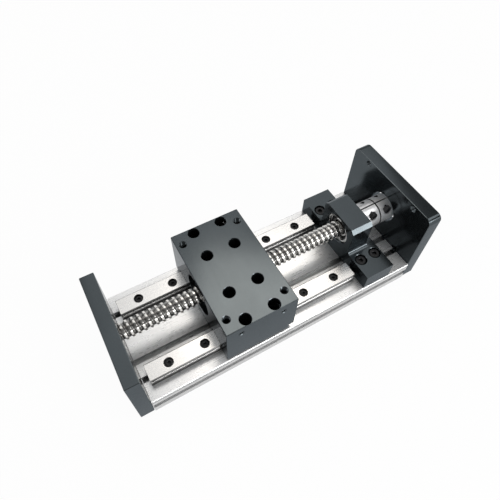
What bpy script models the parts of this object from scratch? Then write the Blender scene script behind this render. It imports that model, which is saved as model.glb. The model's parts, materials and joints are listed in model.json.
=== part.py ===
"""Ball screw linear rail: an 80 mm wide screw-driven slide on two 12 mm guide rails.

X runs from the idle end to the motor end, Y across and Z up, all in metres.
The origin is under the middle of the whole slide, on the face that it stands on.
"""
from math import ceil, cos, floor, pi, radians, sin

import bmesh
import bpy
from mathutils import Matrix, Vector

# Seats and running clearances
SEAT = 0.0003
RUNNING_GAP = 0.0005
DRILL_GAP = 0.0004

# Base extrusion
BASE_WIDTH = 0.080
BASE_HEIGHT = 0.018
BASE_CORNER = 0.0005
TOP_SLOT_MOUTH = 0.0042
TOP_SLOT_LIP = 0.0020
TOP_SLOT_WIDTH = 0.0084
TOP_SLOT_DEPTH = 0.0058
SIDE_SLOT_MOUTH = 0.0052
SIDE_SLOT_LIP = 0.0018
SIDE_SLOT_WIDTH = 0.0086
SIDE_SLOT_DEPTH = 0.0064
SIDE_SLOT_HEIGHT = 0.0088
BOTTOM_SLOT_MOUTH = 0.0062
BOTTOM_SLOT_LIP = 0.0020
BOTTOM_SLOT_WIDTH = 0.0106
BOTTOM_SLOT_DEPTH = 0.0066
FLOOR_WIDTH = 0.0200
FLOOR_GROOVE_WIDTH = 0.0040
FLOOR_GROOVE_DEPTH = 0.0028
SIDE_LINE_WIDTH = 0.0010
SIDE_LINE_DEPTH = 0.0006
SIDE_LINE_DROP = 0.0026
CHAMBER_WIDTH = 0.0120
CHAMBER_HEIGHT = 0.0085
CHAMBER_WEB = 0.0016
CHAMBER_FLOOR = 0.0045
END_SCREW_PORT_RADIUS = 0.0021
LOW_PORT_HEIGHT = 0.0054
HIGH_PORT_SPREAD = 0.0330
HIGH_PORT_HEIGHT = 0.0136

# Guide rails
RAIL_LENGTH = 0.1542
RAIL_WIDTH = 0.0120
RAIL_HEIGHT = 0.0080
RAIL_SPACING = 0.0500
RAIL_CHAMFER = 0.0006
RAIL_FLANK_GROOVE = 0.0011
RAIL_FLANK_HEIGHT = 0.0046
RAIL_FLANK_WIDTH = 0.0024
RAIL_HOLE_PITCH = 0.0250
RAIL_HOLE_MARGIN = 0.0100
RAIL_COUNTERBORE_RADIUS = 0.0030
RAIL_COUNTERBORE_DEPTH = 0.0045

# Distances along the slide
IDLE_GAP = 0.0043
RAIL_TO_HOUSING = 0.0028
FOOT_TO_MOTOR_PLATE = 0.0180
CARRIAGE_FROM_END_PLATE = 0.0525

# End plate and motor plate
PLATE_WIDTH = 0.0788
PLATE_CHAMFER = 0.0004
PLATE_LIFT = 0.0002
END_PLATE_THICKNESS = 0.0094
END_PLATE_HEIGHT = 0.0555
MOTOR_PLATE_THICKNESS = 0.0103
MOTOR_PLATE_HEIGHT = 0.0689
MOTOR_PLATE_CORNER = 0.0045
MOTOR_HOLE_SPACING = 0.04714
MOTOR_HOLE_RADIUS = 0.0022
PILOT_RADIUS = 0.0191
PILOT_DEPTH = 0.0022
COUPLING_CLEARANCE = 0.0020
SHAFT_WINDOW_RADIUS = 0.0080

# Ball screw
SCREW_RISE = 0.0240
SCREW_RADIUS = 0.0059
SCREW_LEAD = 0.0040
LAND_WIDTH = 0.0014
GROOVE_DEPTH = 0.0011
THREAD_STEPS = 10
FIXED_JOURNAL_RADIUS = 0.0050
IDLE_JOURNAL_RADIUS = 0.0040
DRIVE_JOURNAL_RADIUS = 0.0040
JOURNAL_CHAMFER = 0.0005
THREAD_RUNOUT = 0.0012

# Bearings
BEARING_RADIUS = 0.0110
IDLE_BEARING_WIDTH = 0.0070
FIXED_BEARING_WIDTH = 0.0060
RING_WALL = 0.0018
RACE_DEPTH = 0.0005
SHIELD_THICKNESS = 0.0004
SHIELD_INSET = 0.0003
BALL_SPACING = 1.8
BALL_PRESS = 0.00015
RETAINER_THICKNESS = 0.0010
RETAINER_DEPTH = 0.0009
RETAINER_RIM = 0.0016
RETAINER_OPENING = 0.0050
LOCK_NUT_RADIUS = 0.0085
LOCK_NUT_LENGTH = 0.0034
LOCK_NUT_NOTCH = 0.0026
LOCK_NUT_NOTCHES = 4

# Bearing housing
HOUSING_LENGTH = 0.0165
HOUSING_WIDTH = 0.0320
HOUSING_RISE = 0.0375
HOUSING_CHAMFER = 0.0026
HOUSING_FILLET = 0.0035
HOUSING_INSET = 0.0010
FOOT_LENGTH = 0.0225
FOOT_HEIGHT = 0.0134
FOOT_BOLT_INSET = 0.0053
FOOT_BOLT_PITCH = 0.0121
FOOT_COUNTERBORE_DEPTH = 0.0050

# Carriage
SADDLE_LENGTH = 0.0497
SADDLE_WIDTH = 0.0786
SADDLE_DECK = 0.0256
SADDLE_CLEARANCE = 0.0020
SADDLE_CHAMFER = 0.0004
SADDLE_RELIEF_LENGTH = 0.0042
SADDLE_RELIEF_HEIGHT = 0.0040
GUIDE_BLOCK_LENGTH = 0.0454
GUIDE_BLOCK_WIDTH = 0.0250
GUIDE_BLOCK_HEIGHT = 0.0100
GUIDE_BLOCK_RISE = 0.0050
GUIDE_BLOCK_CORNER = 0.0008
END_CAP_LENGTH = 0.0060
END_CAP_INSET = 0.0004
SEAL_THICKNESS = 0.0008
BLOCK_BOLT_PITCH = 0.0200
BLOCK_BOLT_SPREAD = 0.0200
BLOCK_BOLT_ENGAGEMENT = 0.0034
DECK_COUNTERBORE_RADIUS = 0.0039
DECK_COUNTERBORE_LEFT = 0.0048
LOAD_HOLE_RADIUS = 0.0025
LOAD_HOLE_DEPTH = 0.0120
LOAD_HOLE_PITCH = 0.0400
LOAD_HOLE_SPREAD = 0.0600
SIDE_HOLE_RADIUS = 0.0020
SIDE_HOLE_DEPTH = 0.0080
SIDE_HOLE_PITCH = 0.0293
SIDE_HOLE_DROP = 0.0071

# Ball nut
NUT_RADIUS = 0.0120
NUT_LENGTH = 0.0370
NUT_BORE_CLEARANCE = 0.0004
NUT_TURNS = 2.5
NUT_RECESS_RADIUS = 0.0098
NUT_RECESS_DEPTH = 0.0032
NUT_CHAMFER = 0.0005
NUT_BALL_RADIUS = 0.0010
NUT_BALL_RISE = 0.00052
NUT_BALL_PRESS = 0.00030
NUT_BALL_SPACING = 2.8
BORE_MOUTH_RADIUS = 0.0142
BORE_MOUTH_DEPTH = 0.0036
KEY_WIDTH = 0.0040
KEY_LENGTH = 0.0120
KEY_SINK = 0.0018
KEY_STAND = 0.0016

# Coupling
COUPLING_RADIUS = 0.0099
COUPLING_LENGTH = 0.0250
COUPLING_SLIT = 0.0010
COUPLING_CHAMFER = 0.0004
MOTOR_SHAFT_RADIUS = 0.0040
CLAMP_SCREW_RISE = 0.0070
CLAMP_HEAD_SEAT = 0.0052
CLAMP_SCREW_REACH = 0.0066

# Socket cap screws: shank radius, head radius, head height and key radius
SMALL_SHANK = 0.0015
SMALL_HEAD = 0.00275
SMALL_HEAD_HEIGHT = 0.0030
SMALL_KEY = 0.0014
LARGE_SHANK = 0.0020
LARGE_HEAD = 0.0035
LARGE_HEAD_HEIGHT = 0.0040
LARGE_KEY = 0.0017
KEY_DEPTH_SHARE = 0.5
FOOT_COUNTERBORE_RADIUS = 0.0043
PLATE_COUNTERBORE_RADIUS = 0.0040
PLATE_SCREW_REACH = 0.0100
SLOT_NUT_LENGTH = 0.0070
SLOT_NUT_HEIGHT = 0.0028
OVERSHOOT = 0.0020
MARKER_SIZE = 0.0200

# Facets round a full turn
FINE = 20
ROUND = 16
BORE_ROUND = 10
SMALL_ROUND = 8
TINY_ROUND = 6

# Places that follow from the sizes above
BOTTOM_SLOT_SPACING = BASE_WIDTH / 2
BOTTOM_SLOT_EDGE = (BOTTOM_SLOT_SPACING + BOTTOM_SLOT_WIDTH) / 2
SIDE_SLOT_FLOOR = BASE_WIDTH / 2 - SIDE_SLOT_DEPTH
LOW_PORT_SPREAD = BOTTOM_SLOT_EDGE + SIDE_SLOT_FLOOR
BASE_LENGTH = IDLE_GAP + RAIL_LENGTH + RAIL_TO_HOUSING + FOOT_LENGTH + FOOT_TO_MOTOR_PLATE
TOTAL_LENGTH = END_PLATE_THICKNESS + BASE_LENGTH + MOTOR_PLATE_THICKNESS + 2 * SEAT
END_PLATE_X = -TOTAL_LENGTH / 2
BASE_X = END_PLATE_X + END_PLATE_THICKNESS + SEAT
MOTOR_PLATE_X = BASE_X + BASE_LENGTH + SEAT
RAIL_X = BASE_X + IDLE_GAP
HOUSING_X = RAIL_X + RAIL_LENGTH + RAIL_TO_HOUSING
RAIL_Y = RAIL_SPACING / 2
RAIL_BASE_Z = BASE_HEIGHT + SEAT
RAIL_TOP_Z = RAIL_BASE_Z + RAIL_HEIGHT
SCREW_Z = BASE_HEIGHT + SCREW_RISE
SADDLE_X = BASE_X + CARRIAGE_FROM_END_PLATE
SADDLE_MID_X = SADDLE_X + SADDLE_LENGTH / 2
BLOCK_TOP_Z = RAIL_TOP_Z + GUIDE_BLOCK_RISE
BLOCK_BASE_Z = BLOCK_TOP_Z - GUIDE_BLOCK_HEIGHT
SADDLE_BASE_Z = BASE_HEIGHT + SADDLE_CLEARANCE
SADDLE_TOP_Z = BLOCK_TOP_Z + SEAT + SADDLE_DECK
IDLE_BEARING_X = BASE_X - SEAT - IDLE_BEARING_WIDTH
IDLE_THREAD_X = IDLE_BEARING_X + IDLE_BEARING_WIDTH + SEAT
FRONT_BEARING_X = HOUSING_X + HOUSING_INSET + RETAINER_THICKNESS + 2 * SEAT
REAR_BEARING_X = FRONT_BEARING_X + FIXED_BEARING_WIDTH + SEAT
FIXED_THREAD_X = FRONT_BEARING_X - SEAT
LOCK_NUT_X = REAR_BEARING_X + FIXED_BEARING_WIDTH + SEAT
HOUSING_BORE_END = REAR_BEARING_X + FIXED_BEARING_WIDTH + SEAT
COUPLING_X = max(LOCK_NUT_X + LOCK_NUT_LENGTH, HOUSING_X + HOUSING_LENGTH) + SEAT
COUPLING_MID_X = COUPLING_X + COUPLING_LENGTH / 2
SCREW_END_X = COUPLING_MID_X - COUPLING_SLIT
IDLE_END_X = END_PLATE_X + (END_PLATE_THICKNESS - IDLE_BEARING_WIDTH) / 4
SLOT_NUT_TOP_Z = BASE_HEIGHT - TOP_SLOT_LIP - SEAT
RAIL_SCREW_Z = RAIL_TOP_Z - RAIL_COUNTERBORE_DEPTH + SEAT
HOUSING_BASE_Z = BASE_HEIGHT + SEAT
FOOT_TOP_Z = HOUSING_BASE_Z + FOOT_HEIGHT
FOOT_SCREW_Z = FOOT_TOP_Z - FOOT_COUNTERBORE_DEPTH + SEAT
BLOCK_SCREW_Z = BLOCK_TOP_Z + 2 * SEAT + DECK_COUNTERBORE_LEFT
BALL_PITCH_RADIUS = SCREW_RADIUS + NUT_BALL_RISE

IDLE_BEARING = (IDLE_BEARING_X, IDLE_BEARING_WIDTH, IDLE_JOURNAL_RADIUS)
FRONT_BEARING = (FRONT_BEARING_X, FIXED_BEARING_WIDTH, FIXED_JOURNAL_RADIUS)
REAR_BEARING = (REAR_BEARING_X, FIXED_BEARING_WIDTH, FIXED_JOURNAL_RADIUS)

SLIDE_NAME = "ball_screw_linear_rail"

# Turns a piece drawn along its own Z, with its face in XY, onto the slide's X
ALONG_X = Matrix(((0, 0, 1, 0), (1, 0, 0, 0), (0, 1, 0, 0), (0, 0, 0, 1)))


def clear_scene():
    """Remove whatever the file holds, so that the model starts empty."""
    for old in list(bpy.data.objects):
        bpy.data.objects.remove(old, do_unlink=True)


def new_collection(name):
    made = bpy.data.collections.new(name)
    bpy.context.scene.collection.children.link(made)
    return made


def material(name, colour, metallic, roughness):
    """One Principled material with a plain finish."""
    made = bpy.data.materials.new(name)
    made.use_nodes = True
    shader = made.node_tree.nodes["Principled BSDF"]
    shader.inputs["Base Color"].default_value = (*colour, 1.0)
    shader.inputs["Metallic"].default_value = metallic
    shader.inputs["Roughness"].default_value = roughness
    made.diffuse_color = (*colour, 1.0)
    return made


def mesh_object(name, bm):
    """Turn an edited mesh into an object of the parts collection."""
    mesh = bpy.data.meshes.new(name)
    bm.to_mesh(mesh)
    bm.free()
    made = bpy.data.objects.new(name, mesh)
    PARTS.objects.link(made)
    return made


def evaluated_mesh(obj):
    graph = bpy.context.evaluated_depsgraph_get()
    return bpy.data.meshes.new_from_object(obj.evaluated_get(graph), depsgraph=graph)


def drop(obj):
    bpy.data.objects.remove(obj, do_unlink=True)


def baked(obj, to_world=None):
    """Apply an object's modifiers and its turn, and close the seams that they leave."""
    mesh = evaluated_mesh(obj)
    bm = bmesh.new()
    bm.from_mesh(mesh)
    if to_world:
        bm.transform(to_world)
    bmesh.ops.remove_doubles(bm, verts=bm.verts, dist=0.000005)
    bmesh.ops.recalc_face_normals(bm, faces=bm.faces)
    name = obj.name
    drop(obj)
    return mesh_object(name, bm)


def block(name, low, high, chamfer=0.0):
    """A box between two corners, with its edges broken when a chamfer is given."""
    size = Vector(high) - Vector(low)
    bm = bmesh.new()
    bmesh.ops.create_cube(bm, size=1.0)
    bmesh.ops.scale(bm, vec=size, verts=bm.verts)
    bmesh.ops.translate(bm, vec=Vector(low) + size / 2, verts=bm.verts)
    if chamfer:
        bmesh.ops.bevel(bm, geom=bm.edges, offset=chamfer, segments=1, affect="EDGES")
    return mesh_object(name, bm)


def rod(name, radius, start, end, facets=ROUND):
    """A cylinder between two points."""
    start = Vector(start)
    axis = Vector(end) - start
    bm = bmesh.new()
    bmesh.ops.create_cone(bm, cap_ends=True, segments=facets, radius1=radius, radius2=radius,
                          depth=axis.length)
    bm.transform(axis.to_track_quat("Z", "Y").to_matrix().to_4x4())
    bmesh.ops.translate(bm, vec=start + axis / 2, verts=bm.verts)
    return mesh_object(name, bm)


def ball(name, radius, centre):
    bm = bmesh.new()
    bmesh.ops.create_uvsphere(bm, u_segments=TINY_ROUND, v_segments=4, radius=radius)
    bmesh.ops.translate(bm, vec=centre, verts=bm.verts)
    return mesh_object(name, bm)


def group(name, pieces):
    """Gather separate solids in one mesh, to cut or join them in one step."""
    bm = bmesh.new()
    for piece in pieces:
        bm.from_mesh(piece.data)
    for piece in pieces:
        drop(piece)
    return mesh_object(name, bm)


def prism(name, outlines, start, length, to_world):
    """Fill flat outlines, later ones as holes in the first, and extrude them."""
    curve = bpy.data.curves.new(name, "CURVE")
    curve.dimensions = "2D"
    curve.fill_mode = "BOTH"
    curve.extrude = length / 2
    for outline in outlines:
        spline = curve.splines.new("POLY")
        spline.points.add(len(outline) - 1)
        for point, (u, v) in zip(spline.points, outline):
            point.co = (u, v, 0.0, 1.0)
        spline.use_cyclic_u = True
    drawn = bpy.data.objects.new(name, curve)
    PARTS.objects.link(drawn)
    lift = Matrix.Translation((0, 0, start + length / 2))
    return baked(drawn, to_world @ lift)


def prism_x(name, outlines, start, length):
    """Extrude an outline drawn in (Y, Z) along X."""
    return prism(name, outlines, start, length, ALONG_X)


def on_axis(x):
    return (x, 0, SCREW_Z)


def turned(name, profile, facets=ROUND, closed=False):
    """Turn a profile of (x, radius) points about the screw's axis.

    An open profile starts and ends on the axis; a closed one makes a ring.
    """
    mesh = bpy.data.meshes.new(name)
    count = len(profile)
    edges = [(i, i + 1) for i in range(count - 1)]
    if closed:
        edges.append((count - 1, 0))
    mesh.from_pydata([(radius, 0, x) for x, radius in profile], edges, [])
    drawn = bpy.data.objects.new(name, mesh)
    PARTS.objects.link(drawn)
    screw = drawn.modifiers.new("turn", "SCREW")
    screw.steps = facets
    screw.render_steps = facets
    screw.use_merge_vertices = True
    screw.merge_threshold = 0.00001
    return baked(drawn, Matrix.Translation(on_axis(0)) @ ALONG_X)


def cut(target, *cutters):
    """Subtract cutters, which move to the cutters' collection."""
    boolean(target, "DIFFERENCE", cutters)
    return target


def fuse(target, *others, solver="EXACT"):
    """Join solids that overlap into one body."""
    boolean(target, "UNION", others, solver)
    return target


def boolean(target, operation, tools, solver="EXACT"):
    for tool in tools:
        step = target.modifiers.new(tool.name, "BOOLEAN")
        step.operation = operation
        step.solver = solver
        step.object = tool
        PARTS.objects.unlink(tool)
        CUTTERS.objects.link(tool)
        tool.hide_render = True
        tool.display_type = "WIRE"


def arc(centre, radius, start, end, steps):
    """Points on an arc, angles in degrees."""
    turns = [radians(start + (end - start) * i / steps) for i in range(steps + 1)]
    return [(centre[0] + radius * cos(a), centre[1] + radius * sin(a)) for a in turns]


def circle(centre, radius, facets):
    return arc(centre, radius, 0, 360 * (facets - 1) / facets, facets - 1)


def smooth(obj):
    """Shade the round faces of a piece smooth and keep its edges sharp."""
    obj.data.shade_smooth()
    obj.data.set_sharp_from_angle(angle=radians(35))


def finish(obj, look, parent, origin):
    """Give a piece its material, and put its own origin on its parent's axis or place."""
    origin = Vector(origin)
    obj.data.materials.clear()
    obj.data.materials.append(look)
    smooth(obj)
    obj.data.transform(Matrix.Translation(-origin))
    obj.parent = parent
    obj.location = origin - parent.location
    return obj


def finish_copies(piece, names, places, look, parent):
    """Set a piece that is modelled at the first place at every place, under one name each."""
    first = Vector(places[0])
    finish(piece, look, parent, first)
    piece.name = names[0]
    for name, place in zip(names[1:], places[1:]):
        copy = bpy.data.objects.new(name, piece.data)
        PARTS.objects.link(copy)
        copy.parent = parent
        copy.location = Vector(place) - parent.location


def centre_of(obj):
    points = [vertex.co for vertex in obj.data.vertices]
    low = Vector([min(p[i] for p in points) for i in range(3)])
    high = Vector([max(p[i] for p in points) for i in range(3)])
    return (low + high) / 2


def cap_screw(name, seat, direction, shank, reach, head, head_height, key):
    """A socket cap screw whose head sits on a seat, its shank running along direction."""
    seat = Vector(seat)
    direction = Vector(direction).normalized()
    made = rod(name, head, seat, seat - direction * head_height, SMALL_ROUND)
    root, tip = seat - direction * head_height / 4, seat + direction * reach
    stem = rod(name + "_stem", shank, root, tip, TINY_ROUND)
    key_floor = seat - direction * head_height * (1 - KEY_DEPTH_SHARE)
    socket = rod(name + "_key", key, seat - direction * (head_height + OVERSHOOT), key_floor, TINY_ROUND)
    return merged(cut(fuse(made, stem), socket), stem, socket)


def merged(piece, *tools):
    """Apply a piece's Booleans for good and remove the solids that made them."""
    solid = baked(piece)
    for tool in tools:
        drop(tool)
    return solid


def tee_slot(centre, along, inward, mouth, lip, width, depth):
    """The eight corners of a T-slot cut into an edge that runs in the direction along."""
    centre, along, inward = Vector(centre), Vector(along), Vector(inward)
    steps = ((-mouth / 2, 0), (-mouth / 2, lip), (-width / 2, lip), (-width / 2, depth),
             (width / 2, depth), (width / 2, lip), (mouth / 2, lip), (mouth / 2, 0))
    return [tuple(centre + along * s + inward * t) for s, t in steps]


def notch(centre, along, inward, width, depth):
    """The four corners of a plain groove in an edge."""
    centre, along, inward = Vector(centre), Vector(along), Vector(inward)
    steps = ((-width / 2, 0), (-width / 2, depth), (width / 2, depth), (width / 2, 0))
    return [tuple(centre + along * s + inward * t) for s, t in steps]


def rail_hole_offsets():
    """Distances of the rail's holes from its left end, centred on the rail."""
    spare = RAIL_LENGTH - 2 * RAIL_HOLE_MARGIN
    gaps = max(1, floor(spare / RAIL_HOLE_PITCH))
    first = (RAIL_LENGTH - gaps * RAIL_HOLE_PITCH) / 2
    return [first + i * RAIL_HOLE_PITCH for i in range(gaps + 1)]


def rail_hole_places():
    return [(RAIL_X + x, side * RAIL_Y) for side in (-1, 1) for x in rail_hole_offsets()]


def foot_bolt_places():
    first = HOUSING_X + FOOT_BOLT_INSET
    return [(first + i * FOOT_BOLT_PITCH, side * RAIL_Y) for side in (-1, 1) for i in (0, 1)]


def port_places():
    """The four screw ports in each end of the base, as (y, z)."""
    low = [(side * LOW_PORT_SPREAD / 2, LOW_PORT_HEIGHT) for side in (-1, 1)]
    high = [(side * HIGH_PORT_SPREAD / 2, HIGH_PORT_HEIGHT) for side in (-1, 1)]
    return low + high


def base_outline():
    """The extrusion's outline in (y, z), from its lower left corner to the right."""
    half = BASE_WIDTH / 2
    top = BASE_HEIGHT
    c = BASE_CORNER
    right, up, left, down = (1, 0), (0, 1), (-1, 0), (0, -1)
    bottom_slot = (BOTTOM_SLOT_MOUTH, BOTTOM_SLOT_LIP, BOTTOM_SLOT_WIDTH, BOTTOM_SLOT_DEPTH)
    side_slot = (SIDE_SLOT_MOUTH, SIDE_SLOT_LIP, SIDE_SLOT_WIDTH, SIDE_SLOT_DEPTH)
    top_slot = (TOP_SLOT_MOUTH, TOP_SLOT_LIP, TOP_SLOT_WIDTH, TOP_SLOT_DEPTH)
    line = (SIDE_LINE_WIDTH, SIDE_LINE_DEPTH)
    groove = (FLOOR_GROOVE_WIDTH, FLOOR_GROOVE_DEPTH)
    groove_y = (FLOOR_WIDTH + FLOOR_GROOVE_WIDTH) / 2
    foot_y = BOTTOM_SLOT_SPACING / 2
    line_z = top - SIDE_LINE_DROP
    points = [(-half, c), (-half + c, 0)]
    points += tee_slot((-foot_y, 0), right, up, *bottom_slot)
    points += tee_slot((foot_y, 0), right, up, *bottom_slot)
    points += [(half - c, 0), (half, c)]
    points += tee_slot((half, SIDE_SLOT_HEIGHT), up, left, *side_slot)
    points += notch((half, line_z), up, left, *line)
    points += [(half, top - c), (half - c, top)]
    points += tee_slot((RAIL_Y, top), left, down, *top_slot)
    points += notch((groove_y, top), left, down, *groove)
    points += notch((-groove_y, top), left, down, *groove)
    points += tee_slot((-RAIL_Y, top), left, down, *top_slot)
    points += [(-half + c, top), (-half, top - c)]
    points += notch((-half, line_z), down, right, *line)
    points += tee_slot((-half, SIDE_SLOT_HEIGHT), down, right, *side_slot)
    return points


def chamber_outline(side):
    near = side * CHAMBER_WEB / 2
    far = side * (CHAMBER_WEB / 2 + CHAMBER_WIDTH)
    low = CHAMBER_FLOOR
    high = CHAMBER_FLOOR + CHAMBER_HEIGHT
    return [(near, low), (far, low), (far, high), (near, high)]


def make_base():
    outlines = [base_outline(), chamber_outline(-1), chamber_outline(1)]
    outlines += [circle(place, END_SCREW_PORT_RADIUS, SMALL_ROUND) for place in port_places()]
    return prism_x("base_extrusion", outlines, BASE_X, BASE_LENGTH)


def rail_outline(y):
    """The rail's section, with a ball track in each flank."""
    half = RAIL_WIDTH / 2
    track = RAIL_FLANK_WIDTH / 2
    low, high = RAIL_FLANK_HEIGHT - track, RAIL_FLANK_HEIGHT + track
    flank = [(half, 0), (half, low), (half - RAIL_FLANK_GROOVE, low + track / 2),
             (half - RAIL_FLANK_GROOVE, high - track / 2), (half, high),
             (half, RAIL_HEIGHT - RAIL_CHAMFER), (half - RAIL_CHAMFER, RAIL_HEIGHT)]
    other = [(-u, v) for u, v in reversed(flank)]
    return [(y + u, RAIL_BASE_Z + v) for u, v in flank + other]


def make_rail(name, side):
    rail = prism_x(name, [rail_outline(side * RAIL_Y)], RAIL_X, RAIL_LENGTH)
    heads = []
    stems = []
    for offset in rail_hole_offsets():
        x, y = RAIL_X + offset, side * RAIL_Y
        floor_z = RAIL_TOP_Z - RAIL_COUNTERBORE_DEPTH
        heads.append(rod("head_bore", RAIL_COUNTERBORE_RADIUS, (x, y, floor_z),
                         (x, y, RAIL_TOP_Z + OVERSHOOT), BORE_ROUND))
        stems.append(rod("stem_bore", SMALL_SHANK + DRILL_GAP, (x, y, RAIL_BASE_Z - OVERSHOOT),
                         (x, y, floor_z + OVERSHOOT / 4), TINY_ROUND))
    return cut(rail, group(name + "_heads", heads), group(name + "_stems", stems))


def slot_screw(name, seat, shank, head, head_height, key):
    """A screw driven down into the nut that it draws up under the lips of a top slot."""
    x, y, z = seat
    nut_floor = SLOT_NUT_TOP_Z - SLOT_NUT_HEIGHT
    screw = cap_screw(name, seat, (0, 0, -1), shank, z - nut_floor - SEAT, head, head_height, key)
    half = TOP_SLOT_WIDTH / 2 - SEAT
    nut = block("slot_nut", (x - SLOT_NUT_LENGTH / 2, y - half, nut_floor),
                (x + SLOT_NUT_LENGTH / 2, y + half, SLOT_NUT_TOP_Z))
    return merged(fuse(screw, nut), nut)


def plate_screw_holes(outer_x, inward):
    """Counterbored holes in a plate for the four screws into the base's end."""
    heads = []
    stems = []
    for y, z in port_places():
        mouth = outer_x - inward * OVERSHOOT
        seat = outer_x + inward * plate_seat_depth()
        heads.append(rod("head_bore", PLATE_COUNTERBORE_RADIUS, (mouth, y, z), (seat, y, z), SMALL_ROUND))
        far = seat + inward * (MOTOR_PLATE_THICKNESS + END_PLATE_THICKNESS)
        stems.append(rod("stem_bore", LARGE_SHANK + DRILL_GAP, (seat - inward * OVERSHOOT / 4, y, z),
                         (far, y, z), TINY_ROUND))
    return group("heads", heads), group("stems", stems)


def plate_seat_depth():
    return LARGE_HEAD_HEIGHT + DRILL_GAP


def plate_screws(outer_x, inward, thickness):
    """The four screws that hold a plate on the end of the base, drawn down on their seats."""
    screws = []
    reach = thickness - plate_seat_depth() + PLATE_SCREW_REACH
    for y, z in port_places():
        seat = outer_x + inward * (plate_seat_depth() + SEAT)
        screws.append(cap_screw("plate_screw", (seat, y, z), (inward, 0, 0), END_SCREW_PORT_RADIUS - SEAT,
                                reach, LARGE_HEAD, LARGE_HEAD_HEIGHT, LARGE_KEY))
    return group("plate_screws", screws)


def make_end_plate():
    low = (END_PLATE_X, -PLATE_WIDTH / 2, PLATE_LIFT)
    high = (END_PLATE_X + END_PLATE_THICKNESS, PLATE_WIDTH / 2, PLATE_LIFT + END_PLATE_HEIGHT)
    plate = block("end_plate", low, high, PLATE_CHAMFER)
    pocket = rod("bearing_pocket", BEARING_RADIUS + SEAT, on_axis(IDLE_BEARING_X - SEAT),
                 (high[0] + OVERSHOOT, 0, SCREW_Z))
    window = rod("shaft_window", SHAFT_WINDOW_RADIUS, on_axis(END_PLATE_X - OVERSHOOT),
                 on_axis(IDLE_BEARING_X + OVERSHOOT / 4))
    heads, stems = plate_screw_holes(END_PLATE_X, 1)
    cut(plate, pocket, window, heads, stems)
    return fuse(plate, plate_screws(END_PLATE_X, 1, END_PLATE_THICKNESS))


def motor_plate_outline():
    half = PLATE_WIDTH / 2
    top = PLATE_LIFT + MOTOR_PLATE_HEIGHT
    r = MOTOR_PLATE_CORNER
    c = PLATE_CHAMFER
    points = [(-half, PLATE_LIFT + c), (-half + c, PLATE_LIFT)]
    points += [(half - c, PLATE_LIFT), (half, PLATE_LIFT + c)]
    points += arc((half - r, top - r), r, 0, 90, 5)
    points += arc((-half + r, top - r), r, 90, 180, 5)
    return points


def motor_hole_places():
    s = MOTOR_HOLE_SPACING / 2
    return [(u * s, SCREW_Z + v * s) for u in (-1, 1) for v in (-1, 1)]


def make_motor_plate():
    plate = prism_x("motor_plate", [motor_plate_outline()], MOTOR_PLATE_X, MOTOR_PLATE_THICKNESS)
    outer = MOTOR_PLATE_X + MOTOR_PLATE_THICKNESS
    window = rod("coupling_window", COUPLING_RADIUS + COUPLING_CLEARANCE,
                 on_axis(MOTOR_PLATE_X - OVERSHOOT), on_axis(outer - PILOT_DEPTH / 2), FINE)
    pilot = rod("pilot_recess", PILOT_RADIUS, on_axis(outer - PILOT_DEPTH),
                on_axis(outer + OVERSHOOT), FINE)
    motor_holes = [rod("motor_hole", MOTOR_HOLE_RADIUS, (MOTOR_PLATE_X - OVERSHOOT, y, z),
                       (outer + OVERSHOOT, y, z), SMALL_ROUND) for y, z in motor_hole_places()]
    heads, stems = plate_screw_holes(outer, -1)
    cut(plate, window, pilot, group("motor_holes", motor_holes), heads, stems)
    return fuse(plate, plate_screws(outer, -1, MOTOR_PLATE_THICKNESS))


def housing_outline():
    """The bearing housing's section: a tower that flares into two feet through fillets."""
    half = HOUSING_WIDTH / 2
    foot = PLATE_WIDTH / 2
    base, shoulder = HOUSING_BASE_Z, FOOT_TOP_Z
    top = HOUSING_BASE_Z + HOUSING_RISE
    f, c = HOUSING_FILLET, HOUSING_CHAMFER
    right = [(foot, base), (foot, shoulder)]
    right += arc((half + f, shoulder + f), f, 270, 180, 4)
    right += [(half, top - c), (half - c, top)]
    left = [(-y, z) for y, z in reversed(right)]
    return right + left


def make_housing():
    housing = prism_x("bearing_housing", [housing_outline()], HOUSING_X, HOUSING_LENGTH)
    half = HOUSING_WIDTH / 2
    inner = COUPLING_RADIUS + COUPLING_CLEARANCE
    for side in (-1, 1):
        y0, y1 = sorted((side * max(inner, half - HOUSING_FILLET), side * PLATE_WIDTH / 2))
        heel = block("heel", (HOUSING_X + HOUSING_LENGTH / 2, y0, HOUSING_BASE_Z),
                     (HOUSING_X + FOOT_LENGTH, y1, FOOT_TOP_Z))
        fuse(housing, heel)
    bore = rod("bearing_bore", BEARING_RADIUS + SEAT, on_axis(HOUSING_X - OVERSHOOT),
               on_axis(HOUSING_BORE_END))
    window = rod("nut_window", LOCK_NUT_RADIUS + RUNNING_GAP, on_axis(HOUSING_BORE_END - OVERSHOOT),
                 (HOUSING_X + HOUSING_LENGTH + OVERSHOOT, 0, SCREW_Z))
    ring_seat = rod("ring_groove", BEARING_RADIUS + RETAINER_DEPTH + SEAT,
                    on_axis(HOUSING_X + HOUSING_INSET), on_axis(FRONT_BEARING_X - SEAT / 2))
    heads = []
    stems = []
    for x, y in foot_bolt_places():
        floor_z = FOOT_TOP_Z - FOOT_COUNTERBORE_DEPTH
        heads.append(rod("head_bore", FOOT_COUNTERBORE_RADIUS, (x, y, floor_z),
                         (x, y, FOOT_TOP_Z + OVERSHOOT), BORE_ROUND))
        stems.append(rod("stem_bore", LARGE_SHANK + DRILL_GAP, (x, y, HOUSING_BASE_Z - OVERSHOOT),
                         (x, y, floor_z + OVERSHOOT / 4), TINY_ROUND))
    return cut(housing, bore, window, ring_seat, group("foot_heads", heads), group("foot_stems", stems))


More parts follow.
